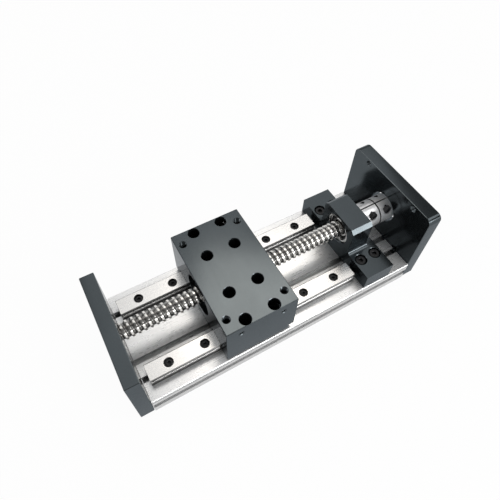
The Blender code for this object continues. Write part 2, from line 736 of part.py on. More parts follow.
def race_profile(x, width, inner, outer, groove_at, groove):
    """A bearing ring's section with a shallow ball groove in one of its round faces."""
    mid = x + width / 2
    span = width / 4
    if groove_at == "outside":
        dip = [(mid - span, outer), (mid, outer - groove), (mid + span, outer)]
        return [(x, inner), (x, outer)] + dip + [(x + width, outer), (x + width, inner)]
    dip = [(mid + span, inner), (mid, inner + groove), (mid - span, inner)]
    return [(x, inner), (x, outer), (x + width, outer), (x + width, inner)] + dip


def inner_ring(name, bearing):
    x, width, bore = bearing
    profile = race_profile(x, width, bore + SEAT, bore + RING_WALL, "outside", RACE_DEPTH)
    return turned(name, profile, ROUND, True)


def outer_ring(name, bearing):
    """A bearing's outer ring, with the balls that run between it and the inner ring."""
    x, width, bore = bearing
    profile = race_profile(x, width, BEARING_RADIUS - RING_WALL, BEARING_RADIUS, "inside", RACE_DEPTH)
    ring = turned(name, profile, ROUND, True)
    return fuse(ring, bearing_balls(x + width / 2, bore))


def bearing_balls(x, bore):
    """The balls of a bearing, pressed a little into the outer track and clear of the inner one."""
    low = bore + RING_WALL - RACE_DEPTH + SEAT
    high = BEARING_RADIUS - RING_WALL + RACE_DEPTH + BALL_PRESS
    pitch = (low + high) / 2
    radius = (high - low) / 2
    count = max(3, floor(2 * pi * pitch / (2 * radius * BALL_SPACING)))
    balls = []
    for i in range(count):
        turn = 2 * pi * (i + 0.5) / count
        balls.append(ball("ball", radius, (x, pitch * cos(turn), SCREW_Z + pitch * sin(turn))))
    return group("bearing_balls", balls)


def bearing_shield(name, x, bore):
    """The thin pressed shield in a bearing's open face."""
    inside = bore + RING_WALL + SEAT
    outside = BEARING_RADIUS - RING_WALL - SEAT
    return turned(name, [(x, inside), (x, outside), (x + SHIELD_THICKNESS, outside),
                         (x + SHIELD_THICKNESS, inside)], ROUND, True)


def retaining_ring(name, x, inside, outside):
    """A snap ring with its gap at the bottom."""
    ring = turned(name, [(x, inside), (x, outside), (x + RETAINER_THICKNESS, outside),
                         (x + RETAINER_THICKNESS, inside)], ROUND, True)
    half = RETAINER_OPENING / 2
    gap = block("ring_gap", (x - OVERSHOOT, -half, SCREW_Z - outside - OVERSHOOT),
                (x + RETAINER_THICKNESS + OVERSHOOT, half, SCREW_Z))
    return merged(cut(ring, gap), gap)


def thread_body(name, start, end):
    """A right-hand ball thread, swept one pitch at a time and cut off square at both ends."""
    groove_middle_x = (SCREW_LEAD + LAND_WIDTH) / 2
    pitch_line = [(0, SCREW_RADIUS), (LAND_WIDTH, SCREW_RADIUS),
                  (groove_middle_x, SCREW_RADIUS - GROOVE_DEPTH), (SCREW_LEAD, SCREW_RADIUS)]
    turns = ceil((end - start) / SCREW_LEAD) + 2
    mesh = bpy.data.meshes.new(name)
    origin = start - SCREW_LEAD
    mesh.from_pydata([(r, 0, origin + x) for x, r in pitch_line], [(i, i + 1) for i in range(3)], [])
    drawn = bpy.data.objects.new(name, mesh)
    PARTS.objects.link(drawn)
    sweep = drawn.modifiers.new("thread", "SCREW")
    sweep.steps = THREAD_STEPS
    sweep.render_steps = THREAD_STEPS
    sweep.iterations = turns
    sweep.screw_offset = SCREW_LEAD
    sweep.use_merge_vertices = True
    sweep.merge_threshold = 0.00001
    swept = evaluated_mesh(drawn)
    drop(drawn)
    bm = bmesh.new()
    bm.from_mesh(swept)
    bmesh.ops.remove_doubles(bm, verts=bm.verts, dist=0.000005)
    for height, outward in ((start, -1), (end, 1)):
        geometry = bm.verts[:] + bm.edges[:] + bm.faces[:]
        bmesh.ops.bisect_plane(bm, geom=geometry, plane_co=(0, 0, height), plane_no=(0, 0, outward),
                               clear_outer=True, dist=0.0000005)
        rim = [edge for edge in bm.edges if edge.is_boundary
               and all(abs(v.co.z - height) < 0.000002 for v in edge.verts)]
        bmesh.ops.contextual_create(bm, geom=rim)
    bmesh.ops.recalc_face_normals(bm, faces=bm.faces)
    bm.transform(Matrix.Translation(on_axis(0)) @ ALONG_X)
    return mesh_object(name, bm)


def journal(name, start, end, radius, chamfer_start, chamfer_end):
    """A plain turned length of the screw, with a chamfer at a free end."""
    c0 = JOURNAL_CHAMFER if chamfer_start else 0
    c1 = JOURNAL_CHAMFER if chamfer_end else 0
    profile = [(start, 0)]
    if c0:
        profile.append((start, radius - c0))
    profile.append((start + c0, radius))
    profile.append((end - c1, radius))
    if c1:
        profile.append((end, radius - c1))
    profile.append((end, 0))
    return turned(name, profile, ROUND)


def make_ball_screw():
    screw = thread_body("ball_screw", IDLE_THREAD_X, FIXED_THREAD_X)
    overlap = THREAD_RUNOUT
    idle = journal("idle_journal", IDLE_END_X, IDLE_THREAD_X + overlap, IDLE_JOURNAL_RADIUS, True, False)
    fixed = journal("fixed_journal", FIXED_THREAD_X - overlap, LOCK_NUT_X + LOCK_NUT_LENGTH,
                    FIXED_JOURNAL_RADIUS, False, False)
    drive = journal("drive_journal", LOCK_NUT_X, SCREW_END_X, DRIVE_JOURNAL_RADIUS, False, True)
    return fuse(screw, idle, fixed, drive)


def make_lock_nut():
    """The slotted nut that clamps the fixed bearings on the screw."""
    x0, x1 = LOCK_NUT_X, LOCK_NUT_X + LOCK_NUT_LENGTH - SEAT
    c = JOURNAL_CHAMFER
    inside = FIXED_JOURNAL_RADIUS + SEAT
    profile = [(x0, inside), (x0, LOCK_NUT_RADIUS - c), (x0 + c, LOCK_NUT_RADIUS),
               (x1 - c, LOCK_NUT_RADIUS), (x1, LOCK_NUT_RADIUS - c), (x1, inside)]
    nut = turned("lock_nut", profile, ROUND, True)
    half = LOCK_NUT_NOTCH / 2
    notches = []
    for i in range(LOCK_NUT_NOTCHES):
        turn = Matrix.Rotation(2 * pi * (i + 0.5) / LOCK_NUT_NOTCHES, 4, "X")
        tooth = block("notch", (x0 + 2 * c, -half, LOCK_NUT_RADIUS - 3 * c),
                      (x1 + OVERSHOOT, half, LOCK_NUT_RADIUS + OVERSHOOT))
        tooth.data.transform(Matrix.Translation(on_axis(0)) @ turn)
        notches.append(tooth)
    return cut(nut, group("nut_notches", notches))


def make_coupling():
    """A one-piece clamp coupling, slit along its top and half way round its middle."""
    r, c = COUPLING_RADIUS, COUPLING_CHAMFER
    x0, x1 = COUPLING_X, COUPLING_X + COUPLING_LENGTH
    body = turned("coupling", [(x0, 0), (x0, r - c), (x0 + c, r), (x1 - c, r), (x1, r - c), (x1, 0)], ROUND)
    screw_bore = rod("screw_bore", DRIVE_JOURNAL_RADIUS + SEAT, on_axis(x0 - OVERSHOOT),
                     on_axis(COUPLING_MID_X), BORE_ROUND)
    motor_bore = rod("motor_bore", MOTOR_SHAFT_RADIUS + SEAT / 2, on_axis(COUPLING_MID_X - OVERSHOOT / 2),
                     on_axis(x1 + OVERSHOOT), BORE_ROUND)
    half = COUPLING_SLIT / 2
    long_slit = block("long_slit", (x0 - OVERSHOOT, -half, SCREW_Z),
                      (x1 + OVERSHOOT, half, SCREW_Z + r + OVERSHOOT))
    cross_slit = block("cross_slit", (COUPLING_MID_X - half, -r - OVERSHOOT, SCREW_Z - r - OVERSHOOT),
                       (COUPLING_MID_X + half, 0, SCREW_Z + r + OVERSHOOT))
    heads = []
    stems = []
    for x in clamp_screw_places():
        z = SCREW_Z + CLAMP_SCREW_RISE
        heads.append(rod("head_bore", SMALL_HEAD + DRILL_GAP, (x, -r - OVERSHOOT, z),
                         (x, -CLAMP_HEAD_SEAT, z), SMALL_ROUND))
        stems.append(rod("stem_bore", SMALL_SHANK + DRILL_GAP, (x, -CLAMP_HEAD_SEAT - OVERSHOOT / 4, z),
                         (x, CLAMP_SCREW_REACH + SEAT, z), TINY_ROUND))
    return cut(body, screw_bore, motor_bore, long_slit, cross_slit,
               group("clamp_heads", heads), group("clamp_stems", stems))


def clamp_screw_places():
    return [COUPLING_MID_X + side * COUPLING_LENGTH / 4 for side in (-1, 1)]


def make_clamp_screw():
    seat = (clamp_screw_places()[0], -CLAMP_HEAD_SEAT - SEAT, SCREW_Z + CLAMP_SCREW_RISE)
    return cap_screw("coupling_clamp_screw", seat, (0, 1, 0), SMALL_SHANK,
                     CLAMP_HEAD_SEAT + CLAMP_SCREW_REACH, SMALL_HEAD, SMALL_HEAD_HEIGHT, SMALL_KEY)


def block_span():
    x0 = SADDLE_MID_X - GUIDE_BLOCK_LENGTH / 2
    return x0, x0 + GUIDE_BLOCK_LENGTH


def block_bolt_places(side):
    u, v = BLOCK_BOLT_PITCH / 2, BLOCK_BOLT_SPREAD / 2
    return [(SADDLE_MID_X + i * u, side * RAIL_Y + j * v) for i in (-1, 1) for j in (-1, 1)]


def make_saddle():
    """The carriage's black saddle: it covers both guide blocks and holds the ball nut."""
    x0, x1 = SADDLE_X, SADDLE_X + SADDLE_LENGTH
    half = SADDLE_WIDTH / 2
    saddle = block("carriage_saddle", (x0, -half, SADDLE_BASE_Z), (x1, half, SADDLE_TOP_Z), SADDLE_CHAMFER)
    b0, b1 = block_span()
    low = SADDLE_BASE_Z - OVERSHOOT
    for side in (-1, 1):
        y = side * RAIL_Y
        pocket_half = GUIDE_BLOCK_WIDTH / 2 + SEAT
        pocket = block("block_pocket", (b0 - SEAT, y - pocket_half, low),
                       (b1 + SEAT, y + pocket_half, BLOCK_TOP_Z + SEAT))
        notch_half = RAIL_WIDTH / 2 + 2 * RUNNING_GAP
        rail_notch = block("rail_notch", (x0 - OVERSHOOT, y - notch_half, low),
                           (x1 + OVERSHOOT, y + notch_half, RAIL_TOP_Z + 2 * RUNNING_GAP))
        cut(saddle, pocket, rail_notch)
    relief = block("end_relief", (x1 - SADDLE_RELIEF_LENGTH, -half - OVERSHOOT, low),
                   (x1 + OVERSHOOT, half + OVERSHOOT, SADDLE_BASE_Z + SADDLE_RELIEF_HEIGHT))
    cut(saddle, relief, *nut_bores(x0, x1), *deck_holes(), *side_holes())
    return saddle


def nut_bores(x0, x1):
    """The stepped bore for the ball nut, its snap ring grooves and its keyway."""
    bore = rod("nut_bore", NUT_RADIUS + SEAT, on_axis(x0 - OVERSHOOT), on_axis(x1 + OVERSHOOT))
    ends = ((x0 - OVERSHOOT, x0 + BORE_MOUTH_DEPTH), (x1 - BORE_MOUTH_DEPTH, x1 + OVERSHOOT))
    mouths = [rod("mouth", BORE_MOUTH_RADIUS, on_axis(start), on_axis(end), FINE) for start, end in ends]
    grooves = [rod("ring_groove", NUT_RADIUS + RETAINER_DEPTH + SEAT, on_axis(x - SEAT / 2),
                   (x + RETAINER_THICKNESS + SEAT / 2, 0, SCREW_Z)) for x in nut_ring_places()]
    half = KEY_WIDTH / 2 + SEAT
    reach = KEY_LENGTH / 2 + SEAT
    keyway = block("keyway", (SADDLE_MID_X - reach, -half, SCREW_Z - NUT_RADIUS - KEY_STAND - SEAT),
                   (SADDLE_MID_X + reach, half, SCREW_Z - NUT_RADIUS / 2))
    return bore, group("bore_mouths", mouths), group("ring_grooves", grooves), keyway


def nut_span():
    x0 = SADDLE_MID_X - NUT_LENGTH / 2
    return x0, x0 + NUT_LENGTH


def nut_ring_places():
    """Where the two snap rings start, one at each end of the nut."""
    x0, x1 = nut_span()
    return x0 - SEAT - RETAINER_THICKNESS, x1 + SEAT


def deck_holes():
    """Deep counterbores for the guide block screws and threaded holes for the load."""
    top = SADDLE_TOP_Z + OVERSHOOT
    seat = BLOCK_TOP_Z + SEAT + DECK_COUNTERBORE_LEFT
    heads = []
    stems = []
    for side in (-1, 1):
        for x, y in block_bolt_places(side):
            heads.append(rod("head_bore", DECK_COUNTERBORE_RADIUS, (x, y, seat), (x, y, top), BORE_ROUND))
            stems.append(rod("stem_bore", SMALL_SHANK + DRILL_GAP, (x, y, BLOCK_TOP_Z - OVERSHOOT / 2),
                             (x, y, seat + OVERSHOOT / 4), TINY_ROUND))
    load = []
    for i in (-1, 1):
        for j in (-1, 1):
            x, y = SADDLE_MID_X + i * LOAD_HOLE_PITCH / 2, j * LOAD_HOLE_SPREAD / 2
            floor_z = SADDLE_TOP_Z - LOAD_HOLE_DEPTH
            load.append(rod("load_hole", LOAD_HOLE_RADIUS, (x, y, floor_z), (x, y, top), SMALL_ROUND))
    return group("deck_heads", heads), group("deck_stems", stems), group("load_holes", load)


def side_holes():
    half = SADDLE_WIDTH / 2
    z = SADDLE_TOP_Z - SIDE_HOLE_DROP
    holes = []
    for side in (-1, 1):
        for i in (-1, 1):
            x = SADDLE_MID_X + i * SIDE_HOLE_PITCH / 2
            holes.append(rod("side_hole", SIDE_HOLE_RADIUS, (x, side * (half - SIDE_HOLE_DEPTH), z),
                             (x, side * (half + OVERSHOOT), z), SMALL_ROUND))
    return (group("side_holes", holes),)


def runner_outline(y, inset):
    """A guide block's section in (y, z): a low arch over the rail."""
    half = GUIDE_BLOCK_WIDTH / 2 - inset
    low, high = BLOCK_BASE_Z + inset, BLOCK_TOP_Z - inset
    c = GUIDE_BLOCK_CORNER
    inner = RAIL_WIDTH / 2 + RUNNING_GAP
    ceiling = RAIL_TOP_Z + RUNNING_GAP
    right = [(inner, ceiling), (inner, low), (half - c, low), (half, low + c)]
    right += [(half, high - c), (half - c, high)]
    left = [(-u, v) for u, v in reversed(right)]
    return [(y + u, v) for u, v in right + left]


def make_guide_block(name, side):
    """The hardened steel runner between the end caps."""
    x0, x1 = block_span()
    trim = SEAL_THICKNESS + END_CAP_LENGTH + 2 * SEAT
    runner = prism_x(name, [runner_outline(side * RAIL_Y, 0)], x0 + trim, x1 - x0 - 2 * trim)
    holes = [rod("tapped_hole", SMALL_SHANK + SEAT, (x, y, BLOCK_TOP_Z - BLOCK_BOLT_ENGAGEMENT),
                 (x, y, BLOCK_TOP_Z + OVERSHOOT), TINY_ROUND) for x, y in block_bolt_places(side)]
    return cut(runner, group(name + "_holes", holes))


def make_end_cap(name, side, end):
    """A guide block's plastic end cap with the thin seal plate on its outer face."""
    x0, x1 = block_span()
    y = side * RAIL_Y
    cap_x = x0 + SEAL_THICKNESS if end < 0 else x1 - SEAL_THICKNESS - END_CAP_LENGTH
    seal_x = x0 if end < 0 else x1 - SEAL_THICKNESS - SEAT
    cap = prism_x(name, [runner_outline(y, END_CAP_INSET)], cap_x, END_CAP_LENGTH)
    seal = prism_x(name + "_seal", [runner_outline(y, 2 * END_CAP_INSET)], seal_x, SEAL_THICKNESS + SEAT)
    return fuse(cap, seal)


def make_block_screw():
    """A screw at the bottom of a deck counterbore, down into the guide block's tapped hole."""
    x, y = block_bolt_places(-1)[0]
    reach = BLOCK_SCREW_Z - BLOCK_TOP_Z + BLOCK_BOLT_ENGAGEMENT - SEAT
    return cap_screw("block_screw", (x, y, BLOCK_SCREW_Z), (0, 0, -1), SMALL_SHANK, reach,
                     SMALL_HEAD, SMALL_HEAD_HEIGHT, SMALL_KEY)


def make_ball_nut():
    """The ball nut, its helical ball track in step with the screw's thread."""
    x0, x1 = nut_span()
    inside = SCREW_RADIUS + NUT_BORE_CLEARANCE
    c = NUT_CHAMFER
    profile = [(x0, NUT_RECESS_RADIUS), (x0, NUT_RADIUS - c), (x0 + c, NUT_RADIUS), (x1 - c, NUT_RADIUS),
               (x1, NUT_RADIUS - c), (x1, NUT_RECESS_RADIUS), (x1 - NUT_RECESS_DEPTH, NUT_RECESS_RADIUS),
               (x1 - NUT_RECESS_DEPTH, inside), (x0 + NUT_RECESS_DEPTH, inside),
               (x0 + NUT_RECESS_DEPTH, NUT_RECESS_RADIUS)]
    nut = turned("ball_nut", profile, ROUND, True)
    half = KEY_WIDTH / 2 + SEAT
    reach = KEY_LENGTH / 2 + SEAT
    key_slot = block("key_slot", (SADDLE_MID_X - reach, -half, SCREW_Z - NUT_RADIUS - OVERSHOOT),
                     (SADDLE_MID_X + reach, half, SCREW_Z - NUT_RADIUS + KEY_SINK))
    return fuse(cut(nut, key_slot, ball_track()), nut_balls(), solver="MANIFOLD")


def track_start():
    """Where the nut's ball track starts: on a turn of the screw's groove, at the angle zero."""
    first_groove = IDLE_THREAD_X - SCREW_LEAD + (SCREW_LEAD + LAND_WIDTH) / 2
    wanted = SADDLE_MID_X - SCREW_LEAD * NUT_TURNS / 2
    return first_groove + SCREW_LEAD * round((wanted - first_groove) / SCREW_LEAD)


def ball_track():
    """The helical cutter for the nut's ball track, a closed tube of six sides."""
    radius = NUT_BALL_RADIUS - NUT_BALL_PRESS
    points = arc((0, BALL_PITCH_RADIUS), radius, 0, 300, 5)
    start = track_start()
    mesh = bpy.data.meshes.new("ball_track")
    mesh.from_pydata([(r, 0, start + x) for x, r in points], [(i, (i + 1) % 6) for i in range(6)], [])
    drawn = bpy.data.objects.new("ball_track", mesh)
    PARTS.objects.link(drawn)
    sweep = drawn.modifiers.new("track", "SCREW")
    sweep.angle = 2 * pi * NUT_TURNS
    sweep.steps = ceil(THREAD_STEPS * NUT_TURNS)
    sweep.render_steps = sweep.steps
    sweep.screw_offset = SCREW_LEAD * NUT_TURNS
    mesh = evaluated_mesh(drawn)
    drop(drawn)
    bm = bmesh.new()
    bm.from_mesh(mesh)
    bmesh.ops.holes_fill(bm, edges=[e for e in bm.edges if e.is_boundary], sides=6)
    bmesh.ops.recalc_face_normals(bm, faces=bm.faces)
    bm.transform(Matrix.Translation(on_axis(0)) @ ALONG_X)
    return mesh_object("ball_track", bm)


def nut_balls():
    """One circuit of balls, each seated in the nut's track and clear of the screw's groove."""
    start = track_start()
    run = 2 * pi * BALL_PITCH_RADIUS * NUT_TURNS
    count = floor(run / (2 * NUT_BALL_RADIUS * NUT_BALL_SPACING)) - 1
    balls = []
    for i in range(count):
        share = (i + 1) / (count + 1)
        turn = 2 * pi * NUT_TURNS * share
        centre = (start + SCREW_LEAD * NUT_TURNS * share, BALL_PITCH_RADIUS * cos(turn),
                  SCREW_Z + BALL_PITCH_RADIUS * sin(turn))
        balls.append(ball("ball", NUT_BALL_RADIUS, centre))
    return group("nut_balls", balls)


def make_wiper(name, x):
    inside, outside = SCREW_RADIUS + NUT_BORE_CLEARANCE, NUT_RECESS_RADIUS - SEAT
    end = x + NUT_RECESS_DEPTH - SEAT
    return turned(name, [(x, inside), (x, outside), (end, outside), (end, inside)], ROUND, True)


def make_nut_ring(name, x):
    outside = NUT_RADIUS + RETAINER_DEPTH
    return retaining_ring(name, x, NUT_RADIUS - RETAINER_RIM, outside)


def make_key():
    half = KEY_WIDTH / 2
    low = SCREW_Z - NUT_RADIUS - KEY_STAND
    return block("nut_key", (SADDLE_MID_X - KEY_LENGTH / 2, -half, low),
                 (SADDLE_MID_X + KEY_LENGTH / 2, half, low + KEY_STAND + KEY_SINK - SEAT))


def empty(name, place):
    made = bpy.data.objects.new(name, None)
    made.location = place
    made.empty_display_size = MARKER_SIZE
    PARTS.objects.link(made)
    return made


def build_frame(looks):
    """Everything that stays still, hung on one empty at the origin."""
    frame = empty("frame", (0, 0, 0))
    steel, bright = looks["rail_steel"], looks["bright_steel"]
    black, seal = looks["black_anodised"], looks["black_seal"]
    idle_shield_x = IDLE_BEARING_X + IDLE_BEARING_WIDTH - SHIELD_INSET - SHIELD_THICKNESS
    ring_x = HOUSING_X + HOUSING_INSET + SEAT / 2
    pieces = [
        (make_base(), looks["satin_aluminium"]),
        (make_rail("rail_near", -1), steel),
        (make_rail("rail_far", 1), steel),
        (make_end_plate(), black),
        (outer_ring("idler_bearing_outer_ring", IDLE_BEARING), bright),
        (bearing_shield("idler_bearing_shield", idle_shield_x, IDLE_JOURNAL_RADIUS), seal),
        (make_housing(), black),
        (outer_ring("front_bearing_outer_ring", FRONT_BEARING), bright),
        (bearing_shield("front_bearing_shield", FRONT_BEARING_X + SHIELD_INSET, FIXED_JOURNAL_RADIUS), seal),
        (retaining_ring("housing_retaining_ring", ring_x, BEARING_RADIUS - RETAINER_RIM,
                        BEARING_RADIUS + RETAINER_DEPTH), bright),
        (outer_ring("rear_bearing_outer_ring", REAR_BEARING), bright),
        (make_motor_plate(), black),
    ]
    for piece, look in pieces:
        finish(piece, look, frame, centre_of(piece))
    build_slot_screws(frame, looks["black_screw"])


def build_slot_screws(frame, look):
    """The screws that hold the rails and the bearing housing, each with its slot nut."""
    places = [(x, y, RAIL_SCREW_Z) for x, y in rail_hole_places()]
    names = [f"rail_screw_{i + 1:02d}" for i in range(len(places))]
    screw = slot_screw(names[0], places[0], SMALL_SHANK, SMALL_HEAD, SMALL_HEAD_HEIGHT, SMALL_KEY)
    finish_copies(screw, names, places, look, frame)
    places = [(x, y, FOOT_SCREW_Z) for x, y in foot_bolt_places()]
    names = [f"housing_screw_{i + 1}" for i in range(len(places))]
    screw = slot_screw(names[0], places[0], LARGE_SHANK, LARGE_HEAD, LARGE_HEAD_HEIGHT, LARGE_KEY)
    finish_copies(screw, names, places, look, frame)


def build_screw(looks):
    """Everything that turns with the screw, hung on an empty on its axis."""
    axis_point = on_axis(BASE_X)
    spin = empty("screw_axis", axis_point)
    bright, dark = looks["bright_steel"], looks["black_screw"]
    ring_x = IDLE_BEARING_X - SEAT - RETAINER_THICKNESS
    pieces = [
        (make_ball_screw(), looks["rolled_steel"]),
        (inner_ring("idler_bearing_inner_ring", IDLE_BEARING), bright),
        (retaining_ring("idler_retaining_ring", ring_x, IDLE_JOURNAL_RADIUS + SEAT,
                        IDLE_JOURNAL_RADIUS + RETAINER_RIM), bright),
        (inner_ring("front_bearing_inner_ring", FRONT_BEARING), bright),
        (inner_ring("rear_bearing_inner_ring", REAR_BEARING), bright),
        (make_lock_nut(), dark),
        (make_coupling(), looks["bright_aluminium"]),
    ]
    for piece, look in pieces:
        finish(piece, look, spin, axis_point)
    places = [(x, -CLAMP_HEAD_SEAT - SEAT, SCREW_Z + CLAMP_SCREW_RISE) for x in clamp_screw_places()]
    names = ["coupling_screw_side", "motor_shaft_side"]
    finish_copies(make_clamp_screw(), [f"clamp_screw_{name}" for name in names], places, dark, spin)


def build_carriage(looks):
    """Everything that slides along the rails, hung on an empty at the carriage's middle."""
    middle = (SADDLE_MID_X, 0, RAIL_TOP_Z)
    slide = empty("carriage_slide", middle)
    steel, bright, plastic = looks["rail_steel"], looks["bright_steel"], looks["black_plastic"]
    nut_x0, nut_x1 = nut_span()
    left_ring_x, right_ring_x = nut_ring_places()
    pieces = [
        (make_saddle(), looks["black_anodised"]),
        (make_guide_block("guide_block_near", -1), steel),
        (make_guide_block("guide_block_far", 1), steel),
        (make_end_cap("near_block_end_cap_left", -1, -1), plastic),
        (make_end_cap("near_block_end_cap_right", -1, 1), plastic),
        (make_end_cap("far_block_end_cap_left", 1, -1), plastic),
        (make_end_cap("far_block_end_cap_right", 1, 1), plastic),
        (make_ball_nut(), bright),
        (make_wiper("nut_wiper_left", nut_x0), plastic),
        (make_wiper("nut_wiper_right", nut_x1 - NUT_RECESS_DEPTH + SEAT), plastic),
        (make_nut_ring("nut_retaining_ring_left", left_ring_x), bright),
        (make_nut_ring("nut_retaining_ring_right", right_ring_x), bright),
        (make_key(), bright),
    ]
    for piece, look in pieces:
        finish(piece, look, slide, middle)
    places = [(x, y, BLOCK_SCREW_Z) for x, y in block_bolt_places(-1) + block_bolt_places(1)]
    names = [f"guide_block_screw_{i + 1}" for i in range(len(places))]
    finish_copies(make_block_screw(), names, places, looks["black_screw"], slide)


def make_looks():
    """The finishes, from the photograph's light and dark metals."""
    return {
        "satin_aluminium": material("satin_aluminium", (0.78, 0.79, 0.80), 0.9, 0.38),
        "rail_steel": material("rail_steel", (0.72, 0.72, 0.72), 1.0, 0.24),
        "rolled_steel": material("rolled_steel", (0.62, 0.61, 0.59), 1.0, 0.20),
        "bright_steel": material("bright_steel", (0.66, 0.66, 0.66), 1.0, 0.18),
        "bright_aluminium": material("bright_aluminium", (0.84, 0.85, 0.86), 1.0, 0.22),
        "black_anodised": material("black_anodised", (0.045, 0.050, 0.055), 0.3, 0.34),
        "black_screw": material("black_screw", (0.020, 0.020, 0.022), 0.6, 0.40),
        "black_plastic": material("black_plastic", (0.018, 0.018, 0.018), 0.0, 0.50),
        "black_seal": material("black_seal", (0.012, 0.012, 0.012), 0.0, 0.65),
    }


clear_scene()
PARTS = new_collection(SLIDE_NAME)
CUTTERS = new_collection("cutters")
LOOKS = make_looks()
build_frame(LOOKS)
build_screw(LOOKS)
build_carriage(LOOKS)
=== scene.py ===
"""Ball screw linear rail: the fine pieces, finishes, lights and camera around the loaded frame.

X runs from the idle end to the motor end, Y across and Z up, all in metres.
"""
import json
from collections import namedtuple
from math import asin, cos, degrees, floor, pi, radians, sin

import bmesh
import bpy
from bpy.props import FloatProperty, FloatVectorProperty, IntProperty, PointerProperty
from bpy.types import Operator, Panel, PropertyGroup
from mathutils import Matrix, Vector


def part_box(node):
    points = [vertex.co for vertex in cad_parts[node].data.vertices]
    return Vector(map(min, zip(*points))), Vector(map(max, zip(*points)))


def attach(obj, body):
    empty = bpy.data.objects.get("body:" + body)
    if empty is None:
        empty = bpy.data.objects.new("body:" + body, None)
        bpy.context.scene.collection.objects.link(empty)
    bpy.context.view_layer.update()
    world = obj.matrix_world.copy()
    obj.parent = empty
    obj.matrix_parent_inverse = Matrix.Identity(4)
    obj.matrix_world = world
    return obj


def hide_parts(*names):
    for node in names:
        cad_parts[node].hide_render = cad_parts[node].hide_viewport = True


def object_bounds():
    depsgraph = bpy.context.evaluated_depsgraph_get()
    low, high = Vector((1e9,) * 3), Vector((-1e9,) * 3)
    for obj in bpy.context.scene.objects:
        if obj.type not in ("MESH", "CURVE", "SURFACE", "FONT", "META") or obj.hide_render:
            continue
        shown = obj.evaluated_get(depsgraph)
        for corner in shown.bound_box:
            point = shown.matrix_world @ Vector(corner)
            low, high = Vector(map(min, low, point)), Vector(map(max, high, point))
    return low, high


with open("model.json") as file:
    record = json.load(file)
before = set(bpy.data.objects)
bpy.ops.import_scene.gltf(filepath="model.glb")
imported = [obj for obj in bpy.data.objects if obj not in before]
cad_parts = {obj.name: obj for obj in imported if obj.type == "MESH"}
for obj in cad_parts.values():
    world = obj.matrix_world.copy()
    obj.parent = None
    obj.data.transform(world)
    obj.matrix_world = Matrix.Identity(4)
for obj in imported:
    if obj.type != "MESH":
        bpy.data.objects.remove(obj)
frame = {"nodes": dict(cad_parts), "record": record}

bl_info = {
    "name": "Ball Screw Linear Rail",
    "version": (1, 0, 0),
    "blender": (4, 5, 0),
    "location": "3D View > Sidebar > Linear Rail",
    "description": "Fine pieces, finishes, lights and camera for a ball screw linear rail",
    "category": "Object",
}

CAD_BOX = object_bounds()

# Fits that the fine pieces share with the frame
SEAT = 0.0003
RUNNING_GAP = 0.0005
DRILL_GAP = 0.0004
OVERSHOOT = 0.0020
SAME_POINT = 0.000002
SAME_PLANE = 0.0000005

# Screws: radius of shank and head, height of the head, radius of the key and pitch of the thread
ScrewSize = namedtuple("ScrewSize", "shank head height key pitch")
SMALL_SCREW = ScrewSize(0.0015, 0.00275, 0.0030, 0.0014, 0.0005)
LARGE_SCREW = ScrewSize(0.0020, 0.0035, 0.0040, 0.0017, 0.0007)
SLOT_NUT_SIZE = (0.0070, 0.0078, 0.0028)
SLOT_NUT_BREAK = 0.0004

# Shares of a screw's head radius: its rounded edge, and the width and depth of the knurling
HEAD_ROUND = 0.10
KNURL_WIDTH = 0.025
KNURL_DEPTH = 0.03

# Shares of a screw's head height, where the middle and the walls of its socket end
SOCKET_POINT = 0.42
SOCKET_FLOOR = 0.50

# Shares of a key's radius: how deep the socket's mouth is broken, and its radius below and above
MOUTH_DEPTH = 0.16
MOUTH_START = 0.88
MOUTH_END = 1.04

# Faces round the small turned shapes, added to the large ones, and along an arc
HOLE_SIDES = 48
TAP_SIDES = 40
CLAMP_HOLE_SIDES = 36
MOTOR_HOLE_SIDES = 32
BALL_SIDES = 24
BALL_RINGS = 14
LUG_SIDES = 24
LUG_HOLE_SIDES = 16
SNAP_RING_SIDES = 60
LARGE_EXTRA_SIDES = 24
ARC_STEPS = 8
TRACK_STEPS = 6

# Shares of a hole: a thread's depth in its pitch, and a drill point's height in its radius
THREAD_DEPTH = 0.6
DRILL_POINT = 0.58

# How far each set of screws is turned: the first one, and each next one by
PLATE_SCREW_TURN = (0.4, 1.7)
CLAMP_SCREW_TURN = (0.3, 1.0)
BLOCK_SCREW_TURN = (0.5, 0.9)

# Guide rails
RAIL_COUNTERBORE = (0.0030, 0.0045)
RAIL_GROOVE_WIDTH = 0.0024
RAIL_GROOVE_DEPTH = 0.0011
RAIL_GROOVE_HEIGHT = 0.0046
RAIL_CHAMFER = 0.0006
RAIL_EDGE_BREAK = 0.00012

# Plates
END_PLATE_THICKNESS = 0.0094
MOTOR_PLATE_THICKNESS = 0.0103
PLATE_COUNTERBORE_RADIUS = 0.0040
LOW_PORT = (0.02945, 0.0054)
HIGH_PORT = (0.0165, 0.0136)
PLATE_SCREW_REACH = 0.0100
SHAFT_WINDOW_RADIUS = 0.0080
MOTOR_PLATE_CORNER = 0.0045
MOTOR_HOLE_OFFSET = 0.02357
MOTOR_HOLE_RADIUS = 0.0022
MOTOR_THREAD = 0.0007
PILOT_RADIUS = 0.0191
PILOT_DEPTH = 0.0022
COUPLING_CLEARANCE = 0.0020

# Bearings and the parts beside them
RING_WALL = 0.0018
RING_CHAMFER = 0.0003
BALL_SINK = 0.0004
BALL_COUNT = 9
SHIELD_BEAD = 0.0001
RETAINER_DEPTH = 0.0009
RETAINER_RIM = 0.0016
RETAINER_GAP = 0.0050
LUG_RADIUS = 0.0016
LUG_HOLE = 0.0006
LUG_OVERLAP = 0.35
LOCK_NUT_NOTCH = 0.0026
LOCK_NUT_NOTCHES = 4

